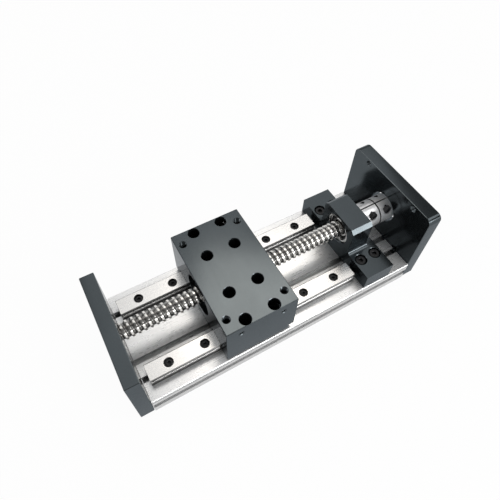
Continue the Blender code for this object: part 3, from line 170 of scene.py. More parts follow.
# Bearing housing
HOUSING_WIDTH = 0.0320
HOUSING_CHAMFER = 0.0026
HOUSING_FILLET = 0.0035
HOUSING_LENGTH = 0.0165
FOOT_HEIGHT = 0.0134
FOOT_COUNTERBORE = (0.0043, 0.0050)

# Ball screw
SCREW_RADIUS = 0.0059
LEAD = 0.0040
LAND = 0.0014
LAND_LIP = 0.00012
GROOVE_DEPTH = 0.0011
THREAD_RUNOUT = 0.0012
FIXED_JOURNAL = 0.0050
DRIVE_JOURNAL = 0.0040
IDLE_JOURNAL = 0.0040
TURNED_CHAMFER = 0.0005

# Carriage
SADDLE_RELIEF = (0.0042, 0.0040)
DECK_HOLE_RADIUS = 0.0039
LOAD_HOLE = (0.0025, 0.0120)
LOAD_HOLE_OFFSET = (0.0200, 0.0300)
LOAD_THREAD = 0.0008
SIDE_HOLE = (0.0020, 0.0080)
SIDE_HOLE_OFFSET = (0.01465, 0.0071)
SIDE_THREAD = 0.0007
BLOCK_SCREWS = 8
NUT_RADIUS = 0.0120
NUT_RECESS = (0.0098, 0.0032)
BORE_MOUTH = (0.0142, 0.0036)
WIPER_CHAMFER = 0.0004

# Coupling
COUPLING_SLIT = 0.0010
COUPLING_CHAMFER = 0.0004
MOTOR_SHAFT_RADIUS = 0.0040
CLAMP_HEAD_SEAT = 0.0052
CLAMP_REACH = 0.0066

# Channel between the rails that is painted darker as shade: its depth under the base's top, and its half
# width
CHANNEL_DEPTH = 0.0003
CHANNEL_REACH = 0.0160

# Colours of wear and dirt
BARE_ALUMINIUM = (0.32, 0.33, 0.34)
RUBBED_STEEL = (0.26, 0.26, 0.27)
GREY_OXIDE = (0.030, 0.031, 0.033)
OIL_STAIN = (0.30, 0.27, 0.22)
OIL_MARK = (0.24, 0.21, 0.17)
DUST = (0.16, 0.16, 0.155)
WHITE = (1.0, 1.0, 1.0, 1.0)

# How much less a pattern is drawn out along each axis than across it
MILLED_LINES = (1.0, 0.012, 0.05)
WIPED_CLOUDS = (1.0, 0.18, 1.0)
BRUSHED_LINES = (0.010, 1.0, 1.0)
BRUSHED_CLOUDS = (0.4, 1.0, 1.0)

# Camera: place, turn and lens
CAMERA_PLACE = (-0.093283, -0.133387, 0.308495)
CAMERA_TURN = (35.7976, -0.4818, -29.1244)
CAMERA_LENS = 33.362
CAMERA_SHIFT = (0.01535, -0.04628)
NEAREST_SEEN = 0.01

# Studio: the floor, the share of it that shows plain white, and where the room's white ends overhead
FLOOR_SIZE = 12.0
FLOOR_DROP = 0.0002
FLOOR_COLOUR = (0.90, 0.90, 0.90, 1.0)
FLOOR_GLOW = 0.96
HORIZON_TOP = 10
CEILING_START = 32

# Lamps: place, size and colour
LAMPS = {
    "key_light": ((0.30, 0.62, 1.25), (1.20, 1.20), (1.0, 1.0, 1.0)),
    "deck_light": ((0.29, 0.44, 1.20), (0.40, 0.34), (1.0, 0.92, 0.83)),
    "overhead_light": ((0.50, -0.52, 0.95), (1.10, 0.50), (1.0, 1.0, 1.0)),
    "front_light": ((0.32, -0.96, 0.40), (0.90, 0.18), (1.0, 1.0, 1.0)),
    "left_light": ((-0.86, 0.46, 0.70), (0.50, 0.50), (1.0, 1.0, 1.0)),
}

X_AXIS, Y_AXIS, Z_AXIS = Vector((1, 0, 0)), Vector((0, 1, 0)), Vector((0, 0, 1))
CORNERS = ((-1, -1), (-1, 1), (1, -1), (1, 1))
SCREW_Z = sum(corner.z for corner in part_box("ball_nut")) / 2


def low(node):
    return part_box(node)[0]


def high(node):
    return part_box(node)[1]


def centre(node):
    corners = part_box(node)
    return (corners[0] + corners[1]) / 2


def round_radius(node):
    """The radius of a node that is round about the screw's axis."""
    return high(node).z - SCREW_Z


def nodes_called(start):
    return sorted(name for name in frame["nodes"] if name.startswith(start))


def on_axis(x):
    return Vector((x, 0, SCREW_Z))


def grown(corners, margin):
    step = Vector((margin, margin, margin))
    return corners[0] - step, corners[1] + step


# Drawing by hand


def clear_selection():
    bpy.ops.object.select_all(action="DESELECT")


def choose(piece):
    """Make one piece the selected and active one."""
    clear_selection()
    piece.select_set(True)
    bpy.context.view_layer.objects.active = piece


def settle(name, matrix=None):
    """Name the active piece and move its place into its mesh."""
    piece = bpy.context.active_object
    if matrix:
        piece.matrix_world = matrix @ piece.matrix_world
    bpy.ops.object.transform_apply(location=True, rotation=True, scale=True)
    piece.name = name
    piece.data.name = name
    return piece


def edit():
    bpy.ops.object.mode_set(mode="EDIT")


def leave_edit():
    bpy.ops.object.mode_set(mode="OBJECT")


def pick_all():
    bpy.ops.mesh.select_all(action="SELECT")


def pick(piece, kind, test):
    """Select the vertices, edges or faces of the edited piece that a test accepts."""
    bpy.ops.mesh.select_mode(type=kind)
    bpy.ops.mesh.select_all(action="DESELECT")
    shape = bmesh.from_edit_mesh(piece.data)
    for part in {"VERT": shape.verts, "EDGE": shape.edges, "FACE": shape.faces}[kind]:
        if test(part):
            part.select_set(True)
    shape.select_flush_mode()
    bmesh.update_edit_mesh(piece.data)


def close_up():
    """Merge doubles and turn every face outwards in the edited piece."""
    pick_all()
    bpy.ops.mesh.remove_doubles(threshold=SAME_POINT)
    bpy.ops.mesh.normals_make_consistent(inside=False)


def add_block(name, corner, far_corner, bevel=0.0):
    """A box between two corners with its edges broken."""
    corner, far_corner = Vector(corner), Vector(far_corner)
    clear_selection()
    bpy.ops.mesh.primitive_cube_add(size=1.0, location=(corner + far_corner) / 2)
    bpy.context.active_object.scale = far_corner - corner
    piece = settle(name)
    if bevel:
        edit()
        pick_all()
        bpy.ops.mesh.bevel(offset=bevel, segments=2, affect="EDGES")
        leave_edit()
    return piece


def add_wire(points):
    """Pull one vertex along a row of points, and stay in edit mode."""
    clear_selection()
    bpy.ops.mesh.primitive_plane_add(size=0.001, location=points[0])
    edit()
    bpy.ops.mesh.select_mode(type="VERT")
    pick_all()
    bpy.ops.mesh.merge(type="CENTER")
    for here, there in zip(points, points[1:]):
        step = Vector(there) - Vector(here)
        bpy.ops.mesh.extrude_vertices_move(TRANSFORM_OT_translate={"value": step})
    return bpy.context.active_object


def join_ends(piece):
    """Draw the edge that closes a wire."""
    count = len(bmesh.from_edit_mesh(piece.data).verts)
    pick(piece, "VERT", lambda vertex: vertex.index in (0, count - 1))
    bpy.ops.mesh.edge_face_add()


def aim(place, direction):
    """The matrix that stands a piece drawn along Z at a place, along a direction."""
    turn = Vector(direction).to_track_quat("Z", "Y").to_matrix().to_4x4()
    return Matrix.Translation(place) @ turn


def add_lathe(name, profile, place, direction, sides, ring=False):
    """Turn a profile of (distance, radius) points about an axis."""
    wire = add_wire([(radius, 0, along) for along, radius in profile])
    if ring:
        join_ends(wire)
    pick_all()
    bpy.ops.mesh.spin(steps=sides, angle=2 * pi, center=(0, 0, 0), axis=(0, 0, 1))
    close_up()
    leave_edit()
    return settle(name, aim(place, direction))


def add_turned(name, profile, sides, ring=False):
    """Turn a profile of (x, radius) points about the screw's axis."""
    return add_lathe(name, profile, on_axis(0), X_AXIS, sides, ring)


def add_prism(name, outline, start, end):
    """Fill an outline of (y, z) points and extrude it along X."""
    add_wire([(start, y, z) for y, z in outline])
    pick_all()
    bpy.ops.mesh.edge_face_add()
    bpy.ops.mesh.extrude_region_move(TRANSFORM_OT_translate={"value": (end - start, 0, 0)})
    close_up()
    leave_edit()
    return settle(name)


def join(pieces):
    """Gather pieces in the first one's mesh."""
    clear_selection()
    for piece in pieces:
        piece.select_set(True)
    bpy.context.view_layer.objects.active = pieces[0]
    if len(pieces) > 1:
        bpy.ops.object.join()
    return pieces[0]


def apply_modifier(piece, kind, **settings):
    choose(piece)
    made = piece.modifiers.new(kind.lower(), kind)
    for key, value in settings.items():
        setattr(made, key, value)
    bpy.ops.object.modifier_apply(modifier=made.name)
    return piece


def combine(piece, operation, tools):
    """Cut tools out of a piece or unite them with it, and clear them away."""
    tool = join(tools)
    apply_modifier(piece, "BOOLEAN", operation=operation, solver="EXACT", object=tool)
    bpy.data.objects.remove(tool, do_unlink=True)
    return piece


def cut(piece, *tools):
    return combine(piece, "DIFFERENCE", tools)


def unite(piece, *tools):
    return combine(piece, "UNION", tools)


def break_edges(piece, width, segments=2, sharper_than=50):
    return apply_modifier(piece, "BEVEL", width=width, segments=segments, limit_method="ANGLE",
                          angle_limit=radians(sharper_than), use_clamp_overlap=True)


def shade(piece, angle=32):
    """Shade round faces smooth, with the flat faces kept flat."""
    choose(piece)
    bpy.ops.object.shade_smooth_by_angle(angle=radians(angle))
    return apply_modifier(piece, "WEIGHTED_NORMAL", keep_sharp=True, weight=100)


def arc(middle, radius, start, end, steps):
    """Points on an arc, with angles in degrees."""
    turns = [radians(start + (end - start) * i / steps) for i in range(steps + 1)]
    return [(middle[0] + radius * cos(a), middle[1] + radius * sin(a)) for a in turns]


def ridges(start, end, crest, root, pitch):
    """The zigzag of a thread along a profile, from start to end."""
    count = max(1, floor(abs(end - start) / pitch))
    step = (end - start) / count
    points = []
    for i in range(count):
        points += [(start + step * i, crest), (start + step * (i + 0.5), root)]
    return points + [(end, crest)]


def shoulder(x, radius, new_radius):
    """The two points where a profile changes its radius."""
    return [(x, radius), (x, new_radius)]


def rim(start, end, radius, chamfer):
    """The outer side of a turned piece, with both its corners broken."""
    low_edge, high_edge = (start, radius - chamfer), (end, radius - chamfer)
    return [low_edge, (start + chamfer, radius), (end - chamfer, radius), high_edge]


def add_bore(faces, radii, between, chamfer, sides):
    """A cutter on the screw's axis past two faces, its mouths broken, with the points between them."""
    (start, end), (first, last) = faces, radii
    profile = shoulder(start - OVERSHOOT, 0, first + chamfer + OVERSHOOT) + [(start + chamfer, first)]
    profile += between
    profile += [(end - chamfer, last), (end + OVERSHOOT, last + chamfer + OVERSHOOT), (end + OVERSHOOT, 0)]
    return add_turned("bore", profile, sides)


def ring_groove(node, bore):
    """The points of a bore's groove for a snap ring."""
    lo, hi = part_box(node)
    bottom = hi.z - SCREW_Z + SEAT
    return shoulder(lo.x - SEAT / 2, bore, bottom) + shoulder(hi.x + SEAT / 2, bottom, bore)


def add_drill(mouth, direction, radius, depth, chamfer, stem=None, pitch=None):
    """A cutter for a hole: its mouth broken, and a thread or a thinner stem where one is given."""
    profile = [(-OVERSHOOT, 0), (-OVERSHOOT, radius + chamfer + OVERSHOOT)]
    if pitch:
        profile += [(0, radius + chamfer)]
        profile += ridges(chamfer, depth, radius, radius - THREAD_DEPTH * pitch, pitch)
    else:
        profile += [(chamfer, radius), (depth, radius)]
    if stem:
        profile += [(depth, stem[0]), (stem[1], stem[0]), (stem[1], 0)]
    else:
        profile.append((depth + radius * DRILL_POINT, 0))
    return add_lathe("drill", profile, mouth, direction, TAP_SIDES if pitch else HOLE_SIDES)


# Writing materials


class Value:
    """A shader value on which Python arithmetic adds its Math nodes."""

    def __init__(self, wiring, source):
        self.wiring = wiring
        self.source = source

    def __add__(self, other):
        return self.wiring.math("ADD", self, other)

    def __sub__(self, other):
        return self.wiring.math("SUBTRACT", self, other)

    def __rsub__(self, other):
        return self.wiring.math("SUBTRACT", other, self)

    def __mul__(self, other):
        return self.wiring.math("MULTIPLY", self, other)

    def __pow__(self, other):
        return self.wiring.math("POWER", self, other)

    def __abs__(self):
        return self.wiring.math("ABSOLUTE", self)

    def ramp(self, start, end, low_end=0.0, high_end=1.0):
        """The low end below start, the high end above end, and a smooth change between."""
        inputs = {0: self, 1: start, 2: end, 3: low_end, 4: high_end}
        return self.wiring.node("ShaderNodeMapRange", {"interpolation_type": "SMOOTHSTEP"}, inputs)

    __radd__ = __add__
    __rmul__ = __mul__


class Wiring:
    """The node tree of a material or a world."""

    def __init__(self, owner):
        owner.use_nodes = True
        self.tree = owner.node_tree

    def node(self, kind, settings=None, inputs=None, output=0):
        made = self.tree.nodes.new(kind)
        for key, value in (settings or {}).items():
            setattr(made, key, value)
        for key, value in (inputs or {}).items():
            self.feed(made.inputs[key], value)
        return Value(self, made.outputs[output])

    def feed(self, socket, value):
        if isinstance(value, Value):
            self.tree.links.new(value.source, socket)
        else:
            socket.default_value = value

    def math(self, operation, *values, clamp=False):
        settings = {"operation": operation, "use_clamp": clamp}
        return self.node("ShaderNodeMath", settings, dict(enumerate(values)))

    def height_of(self, vector):
        return self.node("ShaderNodeSeparateXYZ", None, {0: vector}, "Z")


class Look(Wiring):
    """One material, written as expressions. The scale of a noise is its spots in a metre."""

    def __init__(self, name):
        self.material = bpy.data.materials.new(name)
        super().__init__(self.material)
        self.shader = self.tree.nodes["Principled BSDF"]
        self.place = self.node("ShaderNodeTexCoord", output="Object")

    def noise(self, scale, detail=2.0, stretch=None, rough=0.5):
        where = self.place
        if stretch:
            inputs = {"Vector": self.place, "Scale": stretch}
            where = self.node("ShaderNodeMapping", {"vector_type": "POINT"}, inputs)
        inputs = {"Vector": where, "Scale": scale, "Detail": detail, "Roughness": rough}
        return self.node("ShaderNodeTexNoise", None, inputs, "Fac")

    def line_noise(self, distance, scale, detail=3.0):
        """Noise along one number, such as the distance from an axis."""
        inputs = {"W": distance, "Scale": scale, "Detail": detail}
        return self.node("ShaderNodeTexNoise", {"noise_dimensions": "1D"}, inputs, "Fac")

    def part(self, axis):
        return self.node("ShaderNodeSeparateXYZ", None, {0: self.place}, axis)

    def radius(self):
        """The distance from the screw's axis."""
        y, z = self.part("Y"), self.part("Z") - SCREW_Z
        return (y * y + z * z) ** 0.5

    def mix(self, factor, first, second):
        return self.node("ShaderNodeMix", {"data_type": "RGBA"}, {0: factor, 6: first, 7: second}, 2)

    def flanks(self):
        """1 on faces that don't look up: where the painted flank shade goes."""
        normal = self.node("ShaderNodeNewGeometry", output="True Normal")
        return (1 - self.height_of(normal)).ramp(0.12, 0.30)

    def sunken(self, height, reach):
        """1 under a height, between two sides: where the channel's painted shade goes."""
        inward = reach - abs(self.part("Y"))
        return (height - self.part("Z")).ramp(0.0, 0.0004) * inward.ramp(0.0, 0.0004)

    def within(self, axis, middle, width):
        """1 inside a slit of a width about a middle, with its walls counted in."""
        return self.math("LESS_THAN", abs(self.part(axis) - middle), width / 2 + 0.00003)

    def edge(self, radius, start=0.02, end=0.25):
        """1 on edges, from how far a rounded normal leans away from the true one."""
        rounded = self.node("ShaderNodeBevel", {"samples": 4}, {"Radius": radius})
        true = self.node("ShaderNodeNewGeometry", output="True Normal")
        dot = self.node("ShaderNodeVectorMath", {"operation": "DOT_PRODUCT"}, {0: rounded, 1: true}, "Value")
        return (1 - dot).ramp(start, end)

    def finish(self, colour, roughness, height, depth, metallic=0.0, tint=WHITE):
        """Feed the shader, with a bump of a depth from a height, and give the material."""
        bump = self.node("ShaderNodeBump", None, {"Strength": 1.0, "Distance": depth, "Height": height})
        sockets = {"Base Color": colour, "Roughness": roughness, "Metallic": metallic, "Normal": bump,
                   "Specular Tint": tint}
        for name, value in sockets.items():
            self.feed(self.shader.inputs[name], value)
        return self.material


def shaded(colour, share=1.0):
    """A colour made darker or lighter, with its alpha."""
    return (*[min(1.0, c * share) for c in colour], 1.0)


def make_anodised(name, colour, roughness):
    """Black anodised aluminium: a milled grain under soft clouds, worn bright on its edges."""
    look = Look(name)
    cloud = look.noise(38.0, 3.0)
    wiped = look.noise(260.0, 1.0, WIPED_CLOUDS)
    grain = look.noise(5200.0, 2.0)
    mill = look.noise(2600.0, 2.0, MILLED_LINES)
    worn = look.edge(0.00035) * look.noise(900.0, 3.0).ramp(0.42, 0.62)
    base = look.mix(cloud, shaded(colour, 0.85), shaded(colour, 1.18))
    colour_out = look.mix(worn * 0.35, base, shaded(BARE_ALUMINIUM))
    roughness_out = roughness + (wiped - 0.5) * 0.05 + (mill - 0.5) * 0.04 + (grain - 0.5) * 0.03
    height, depth = grain * 0.4 + mill * 0.3, 0.0000008
    return look.finish(colour_out, roughness_out, height, depth, 0.92, tint=(0.58, 0.60, 0.62, 1.0))


def make_brushed(name, colour, roughness, flank_shade_share, metallic=1.0, channel=None):
    """A metal with fine lines along X and small rubbed marks, with painted shade on the faces that don't look
    up and in its channel.
    """
    look = Look(name)
    lines = look.noise(3800.0, 3.0, BRUSHED_LINES, 0.7)
    broad = look.noise(420.0, 2.0, BRUSHED_CLOUDS)
    cloud = look.noise(30.0, 3.0)
    marks = look.noise(700.0, 4.0).ramp(0.62, 0.78)
    base = look.mix(lines * 0.5 + cloud * 0.5, shaded(colour, 0.96), shaded(colour, 1.02))
    worked = look.mix(marks * 0.06, base, shaded(colour, 0.85))
    # Painted shade: faces that don't look up are darkened to a share of the colour.
    colour_out = look.mix(look.flanks(), worked, shaded(colour, flank_shade_share))
    # Painted shade: the channel between the rails is darkened to half the colour, standing in for the screw's
    # shade and reflection.
    if channel:
        colour_out = look.mix(look.sunken(*channel), colour_out, shaded(colour, 0.5))
    roughness_out = roughness + (lines - 0.5) * 0.05 + (broad - 0.5) * 0.04 + marks * 0.03
    height, depth = lines * 0.7 + broad * 0.3, 0.0000006
    return look.finish(colour_out, roughness_out, height, depth, metallic)


def make_turned(name, colour, roughness, stain=0.10, metallic=1.0, slit_x=None):
    """A metal turned on the screw's axis: fine lines across it and round its faces, with painted shade in its
    slits.
    """
    look = Look(name)
    radial = look.line_noise(look.radius(), 9000.0)
    across = look.line_noise(look.part("X"), 7000.0)
    cloud = look.noise(160.0, 3.0)
    spots = look.noise(1500.0, 3.0).ramp(0.62, 0.78)
    base = look.mix(cloud, shaded(colour, 0.90), shaded(colour, 1.06))
    colour_out = look.mix(spots * stain, base, shaded(OIL_STAIN))
    lines = radial * 0.5 + across * 0.5
    roughness_out = roughness + (lines - 0.5) * 0.08 + (cloud - 0.5) * 0.06
    # Painted shade: the coupling's slits are darkened nearly to black, as if in shadow.
    if slit_x is not None:
        long_slit_shade = look.within("Y", 0.0, COUPLING_SLIT)
        cross_slit_shade = look.within("X", slit_x, COUPLING_SLIT)
        colour_out = look.mix(look.math("MAXIMUM", long_slit_shade, cross_slit_shade), colour_out, shaded(colour, 0.06))
    return look.finish(colour_out, roughness_out, lines, 0.0000015, metallic)


def make_rolled(name, colour, roughness):
    """Rolled and polished screw steel: lighter lands, and grooves painted darker as painted shade that a
    random film tone varies.
    """
    look = Look(name)
    crest = look.radius().ramp(SCREW_RADIUS - GROOVE_DEPTH, SCREW_RADIUS - 0.0001)
    film = look.noise(240.0, 4.0)
    fine = look.noise(4200.0, 2.0)
    marks = look.noise(1100.0, 3.0).ramp(0.60, 0.76)
    # Painted shade: the grooves are darkened to between a fifth and two fifths of the colour.
    groove = look.mix(film, shaded(colour, 0.20), shaded(colour, 0.42))
    base = look.mix(crest, groove, shaded(colour, 1.25))
    colour_out = look.mix(marks * 0.16, base, shaded(OIL_MARK))
    roughness_out = roughness + (1 - crest) * 0.06 + (film - 0.5) * 0.08 + (fine - 0.5) * 0.05
    return look.finish(colour_out, roughness_out, fine * 0.4 + film * 0.6, 0.000004, 1.0)


def make_oxide(name, colour, roughness):
    """Blackened screw steel, rubbed brighter on its edges."""
    look = Look(name)
    cloud = look.noise(800.0, 4.0)
    grain = look.noise(6000.0, 2.0)
    worn = look.edge(0.00018) * look.noise(2400.0, 2.0).ramp(0.40, 0.60)
    base = look.mix(cloud, shaded(colour, 0.75), shaded(GREY_OXIDE))
    colour_out = look.mix(worn * 0.55, base, shaded(RUBBED_STEEL))
    roughness_out = roughness + (cloud - 0.5) * 0.16 + (grain - 0.5) * 0.10
    return look.finish(colour_out, roughness_out, grain * 0.6 + cloud * 0.4, 0.000008, 0.65)


def make_moulded(name, colour, roughness, grain_scale, depth):
    """Moulded plastic or rubber with a fine pebbled skin."""
    look = Look(name)
    pebble = look.node("ShaderNodeTexVoronoi", None, {"Vector": look.place, "Scale": grain_scale}, "Distance")
    cloud = look.noise(220.0, 3.0)
    dust = look.noise(1800.0, 3.0).ramp(0.62, 0.80)
    base = look.mix(cloud, shaded(colour, 0.8), shaded(colour, 1.3))
    colour_out = look.mix(dust * 0.25, base, shaded(DUST))
    roughness_out = roughness + (cloud - 0.5) * 0.12 + dust * 0.08
    return look.finish(colour_out, roughness_out, pebble, depth)


# Sizes and colours that a user would change


def width_property(name, description, default, least, most):
    return FloatProperty(name=name, description=description, default=default,
                         min=least, max=most, precision=5, unit="LENGTH")


def count_property(name, description, default, least, most):
    return IntProperty(name=name, description=description, default=default, min=least, max=most)


def power_property(name, description, default):
    return FloatProperty(name=name, description=description, default=default,
                         min=0.0, soft_max=20.0, unit="POWER")


def share_property(name, description, default):
    return FloatProperty(name=name, description=description, default=default,
                         min=0.0, max=1.0, subtype="FACTOR")


def roughness_property(name, default):
    return share_property(name, "Roughness of this finish", default)


def colour_property(name, description, default):
    return FloatVectorProperty(name=name, description=description, default=default, size=3,
                               min=0.0, max=1.0, subtype="COLOR")


class RailSizes(PropertyGroup):
    """Sizes of the fine pieces, and powers of the lamps"""

    edge_break: width_property("Edge break", "Width of the bevel on the milled edges", 0.0005, 0.00005, 0.001)
    mouth_break: width_property("Hole mouth break", "Chamfer at the mouth of each hole", 0.00025, 0.0, 0.0005)
    round_sides: count_property("Round sides", "Faces round a turned piece", 72, 24, 128)
    thread_steps: count_property("Thread steps", "Faces round one turn of the ball thread", 40, 16, 64)
    key_light: power_property("Key light", "Power of the softbox over the far side", 4.0)
    deck_light: power_property("Deck light", "Power of the lamp that the saddle's deck reflects", 1.25)
    overhead_light: power_property("Overhead light", "Power of the lamp above the near side", 3.6)
    front_light: power_property("Front light", "Power of the low strip that the front chamfers reflect", 4.8)
    left_light: power_property("Left light", "Power of the lamp past the idle end", 1.6)
    room_light: share_property("Ceiling light", "Strength of the room's grey ceiling", 0.15)


class RailFinishes(PropertyGroup):
    """Colours and roughness of the finishes"""

    anodised: colour_property("Anodised", "Plates, housing and saddle", (0.070, 0.081, 0.087))
    anodised_roughness: roughness_property("Anodised roughness", 0.17)
    aluminium: colour_property("Aluminium", "Base extrusion", (0.90, 0.905, 0.905))
    aluminium_roughness: roughness_property("Aluminium roughness", 0.28)
    rail: colour_property("Rail steel", "Guide rails and blocks", (0.75, 0.745, 0.735))
    rail_roughness: roughness_property("Rail roughness", 0.27)
    screw: colour_property("Screw steel", "Ball screw", (0.56, 0.55, 0.53))
    screw_roughness: roughness_property("Screw roughness", 0.13)
    ring: colour_property("Ring steel", "Bearing rings, nut, key and retaining rings", (0.76, 0.76, 0.75))
    ring_roughness: roughness_property("Ring roughness", 0.20)
    coupling: colour_property("Coupling", "Polished aluminium coupling", (0.90, 0.905, 0.915))
    coupling_roughness: roughness_property("Coupling roughness", 0.30)
    oxide: colour_property("Blackened steel", "Screws and lock nut", (0.020, 0.020, 0.022))
    oxide_roughness: roughness_property("Blackened roughness", 0.40)
    plastic: colour_property("Plastic", "End caps and wipers", (0.018, 0.018, 0.018))
    rubber: colour_property("Rubber", "Bearing shields", (0.012, 0.012, 0.012))


LOOKS = {}


def install(piece, slot, body, *nodes):
    """Give a finished piece its finish, its body, and the nodes that it stands for."""
    piece.data.materials.clear()
    piece.data.materials.append(LOOKS[slot])
    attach(piece, body)
    if nodes:
        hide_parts(*nodes)
    return piece


class PieceOperator:
    """What every operator here shares."""

    bl_options = {"REGISTER"}

    def execute(self, context):
        self.make(context.scene.rail_sizes, context.scene.rail_finishes)
        return {"FINISHED"}


class LINEARRAIL_OT_finishes(PieceOperator, Operator):
    """Write the finishes and put them on the frame's own nodes"""

    bl_idname = "linearrail.finishes"
    bl_label = "Finishes"

    def make(self, sizes, finishes):
        f = finishes
        channel = (high("base_extrusion").z - CHANNEL_DEPTH, CHANNEL_REACH)
        slit_x = centre("coupling").x
        LOOKS.update({
            # The base's sides and channel and the rails' flanks get painted shade.
            "satin_aluminium": make_brushed("extruded_aluminium", f.aluminium, f.aluminium_roughness,
                                            0.58, 0.62, channel),
            "rail_steel": make_brushed("ground_rail_steel", f.rail, f.rail_roughness, 0.09),
            "rolled_steel": make_rolled("rolled_screw_steel", f.screw, f.screw_roughness),
            "bright_steel": make_turned("turned_ring_steel", f.ring, f.ring_roughness),
            "bright_aluminium": make_turned("turned_aluminium", f.coupling, f.coupling_roughness,
                                            0.03, 0.70, slit_x),
            "black_anodised": make_anodised("anodised_aluminium", f.anodised, f.anodised_roughness),
            "black_screw": make_oxide("blackened_steel", f.oxide, f.oxide_roughness),
            "black_plastic": make_moulded("moulded_plastic", f.plastic, 0.46, 4200.0, 0.000010),
            "black_seal": make_moulded("moulded_rubber", f.rubber, 0.62, 7000.0, 0.000006),
        })
        for part in frame["record"]["subparts"]:
            node = frame["nodes"][part["node"]]
            node.data.materials.clear()
            node.data.materials.append(LOOKS[part["material_slot"]])


def add_cap_screw(size, reach):
    """A socket cap screw at the origin: its seat at z = 0, its head above and its shank below."""
    shank, head, height, key, pitch = size
    root = shank - pitch * THREAD_DEPTH
    edge = head * HEAD_ROUND
    above = height + OVERSHOOT
    profile = [(-reach, 0), (-reach, root)]
    profile += ridges(-reach + pitch * THREAD_DEPTH, -pitch, shank, root, pitch)
    profile += [(0, shank), (0, head - edge / 2), (edge / 2, head)]
    profile += arc((height - edge, head - edge), edge, 90, 0, 3) + [(height, 0)]
    screw = add_lathe("cap_screw", profile, (0, 0, 0), Z_AXIS, HOLE_SIDES)

    def on_knurling(face):
        middle = face.calc_center_median()
        between = edge < middle.z < height - edge * 1.5
        return between and abs(face.normal.z) < 0.2 and middle.xy.length > head * 0.9

    edit()
    pick(screw, "FACE", on_knurling)
    bpy.ops.mesh.inset(thickness=head * KNURL_WIDTH, depth=-head * KNURL_DEPTH, use_individual=True)
    leave_edit()
    socket = [(height * SOCKET_POINT, 0), (height * SOCKET_FLOOR, key), (above, key), (above, 0)]
    cut(screw, add_lathe("socket", socket, (0, 0, 0), Z_AXIS, 6))
    rest = height - key * MOUTH_DEPTH
    cone = [(rest, 0), (rest, key * MOUTH_START), (above, key * MOUTH_END + OVERSHOOT), (above, 0)]
    cut(screw, add_lathe("cone", cone, (0, 0, 0), Z_AXIS, HOLE_SIDES))
    return shade(screw, 30)


def add_slot_nut(top):
    """The nut that a screw draws up under the lips of a slot, its top at a height."""
    length, width, thickness = SLOT_NUT_SIZE
    corner, far_corner = (-length / 2, -width / 2, top - thickness), (length / 2, width / 2, top)
    return add_block("slot_nut", corner, far_corner, SLOT_NUT_BREAK)


def add_screws(size, reach, direction, body, places, turn=(0, 0), nut_top=None):
    """Draw one cap screw, and copy it to each place with its head's seat there, driven along a direction."""
    master = add_cap_screw(size, reach)
    if nut_top is not None:
        join([master, add_slot_nut(nut_top)])
    for i, (name, seat, *nodes) in enumerate(places):
        choose(master)
        bpy.ops.object.duplicate()
        upright = aim(seat, -direction) @ Matrix.Rotation(turn[0] + i * turn[1], 4, "Z")
        install(settle(name, upright), "black_screw", body, *nodes)
    bpy.data.objects.remove(master, do_unlink=True)


def add_screws_down(nodes, size, body, turn=(0, 0), slot_nuts=False):
    """Screws that are driven down where their nodes are, and the slot nuts under them."""
    lo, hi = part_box(nodes[0])
    seat = hi.z - size.height
    places = [("cap_" + node, (centre(node).x, centre(node).y, seat), node) for node in nodes]
    nut_top = lo.z + SLOT_NUT_SIZE[2] - seat if slot_nuts else None
    add_screws(size, seat - lo.z, -Z_AXIS, body, places, turn, nut_top)


class LINEARRAIL_OT_rails(PieceOperator, Operator):
    """Draw the two guide rails and the screws that hold them"""

    bl_idname = "linearrail.rails"
    bl_label = "Guide rails"

    def make(self, sizes, finishes):
        screws = nodes_called("rail_screw_")
        for node in ("rail_near", "rail_far"):
            lo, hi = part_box(node)
            rail = add_prism("ground_" + node, self.outline(lo, hi), lo.x, hi.x)
            break_edges(rail, RAIL_EDGE_BREAK, 1, 60)
            stem = (SMALL_SCREW.shank + DRILL_GAP, hi.z - lo.z + OVERSHOOT)
            drills = [add_drill((spot.x, spot.y, hi.z), -Z_AXIS, *RAIL_COUNTERBORE, sizes.mouth_break, stem)
                      for spot in map(centre, screws) if lo.y < spot.y < hi.y]
            install(shade(cut(rail, *drills)), "rail_steel", "frame", node)
        add_screws_down(screws, SMALL_SCREW, "frame", slot_nuts=True)

    @staticmethod
    def outline(lo, hi):
        """The rail's section, with a round ball track in each flank."""
        half, mid = (hi.y - lo.y) / 2, (hi.y + lo.y) / 2
        w, d = RAIL_GROOVE_WIDTH / 2, RAIL_GROOVE_DEPTH
        radius = (w * w + d * d) / (2 * d)
        lean = degrees(asin(w / radius))
        track = arc((half + radius - d, RAIL_GROOVE_HEIGHT), radius, 180 + lean, 180 - lean, ARC_STEPS)
        top = hi.z - lo.z
        flank = [(half, 0)] + track + [(half, top - RAIL_CHAMFER), (half - RAIL_CHAMFER, top)]
        other = [(-u, v) for u, v in reversed(flank)]
        return [(mid + u, lo.z + v) for u, v in flank + other]


def port_places():
    """Where the screws of both plates go into the ports of the base, as (y, z)."""
    return [(side * y, z) for y, z in (LOW_PORT, HIGH_PORT) for side in (-1, 1)]


def plate_drills(outer_x, inward, thickness, sizes):
    """Cutters for the four counterbored holes of a plate."""
    depth = LARGE_SCREW.height + DRILL_GAP
    hole = (PLATE_COUNTERBORE_RADIUS, depth, sizes.mouth_break)
    stem = (LARGE_SCREW.shank + DRILL_GAP, thickness + OVERSHOOT)
    return [add_drill((outer_x, y, z), X_AXIS * inward, *hole, stem) for y, z in port_places()]


def add_plate_screws(prefix, outer_x, inward, thickness):
    """The four screws of a plate, their heads sunk in its outer face."""
    depth = LARGE_SCREW.height + DRILL_GAP
    reach = thickness - LARGE_SCREW.height - DRILL_GAP + PLATE_SCREW_REACH
    seat = outer_x + inward * (depth + SEAT)
    places = [(f"{prefix}_screw_{i + 1}", (seat, y, z)) for i, (y, z) in enumerate(port_places())]
    add_screws(LARGE_SCREW, reach, X_AXIS * inward, "frame", places, PLATE_SCREW_TURN)


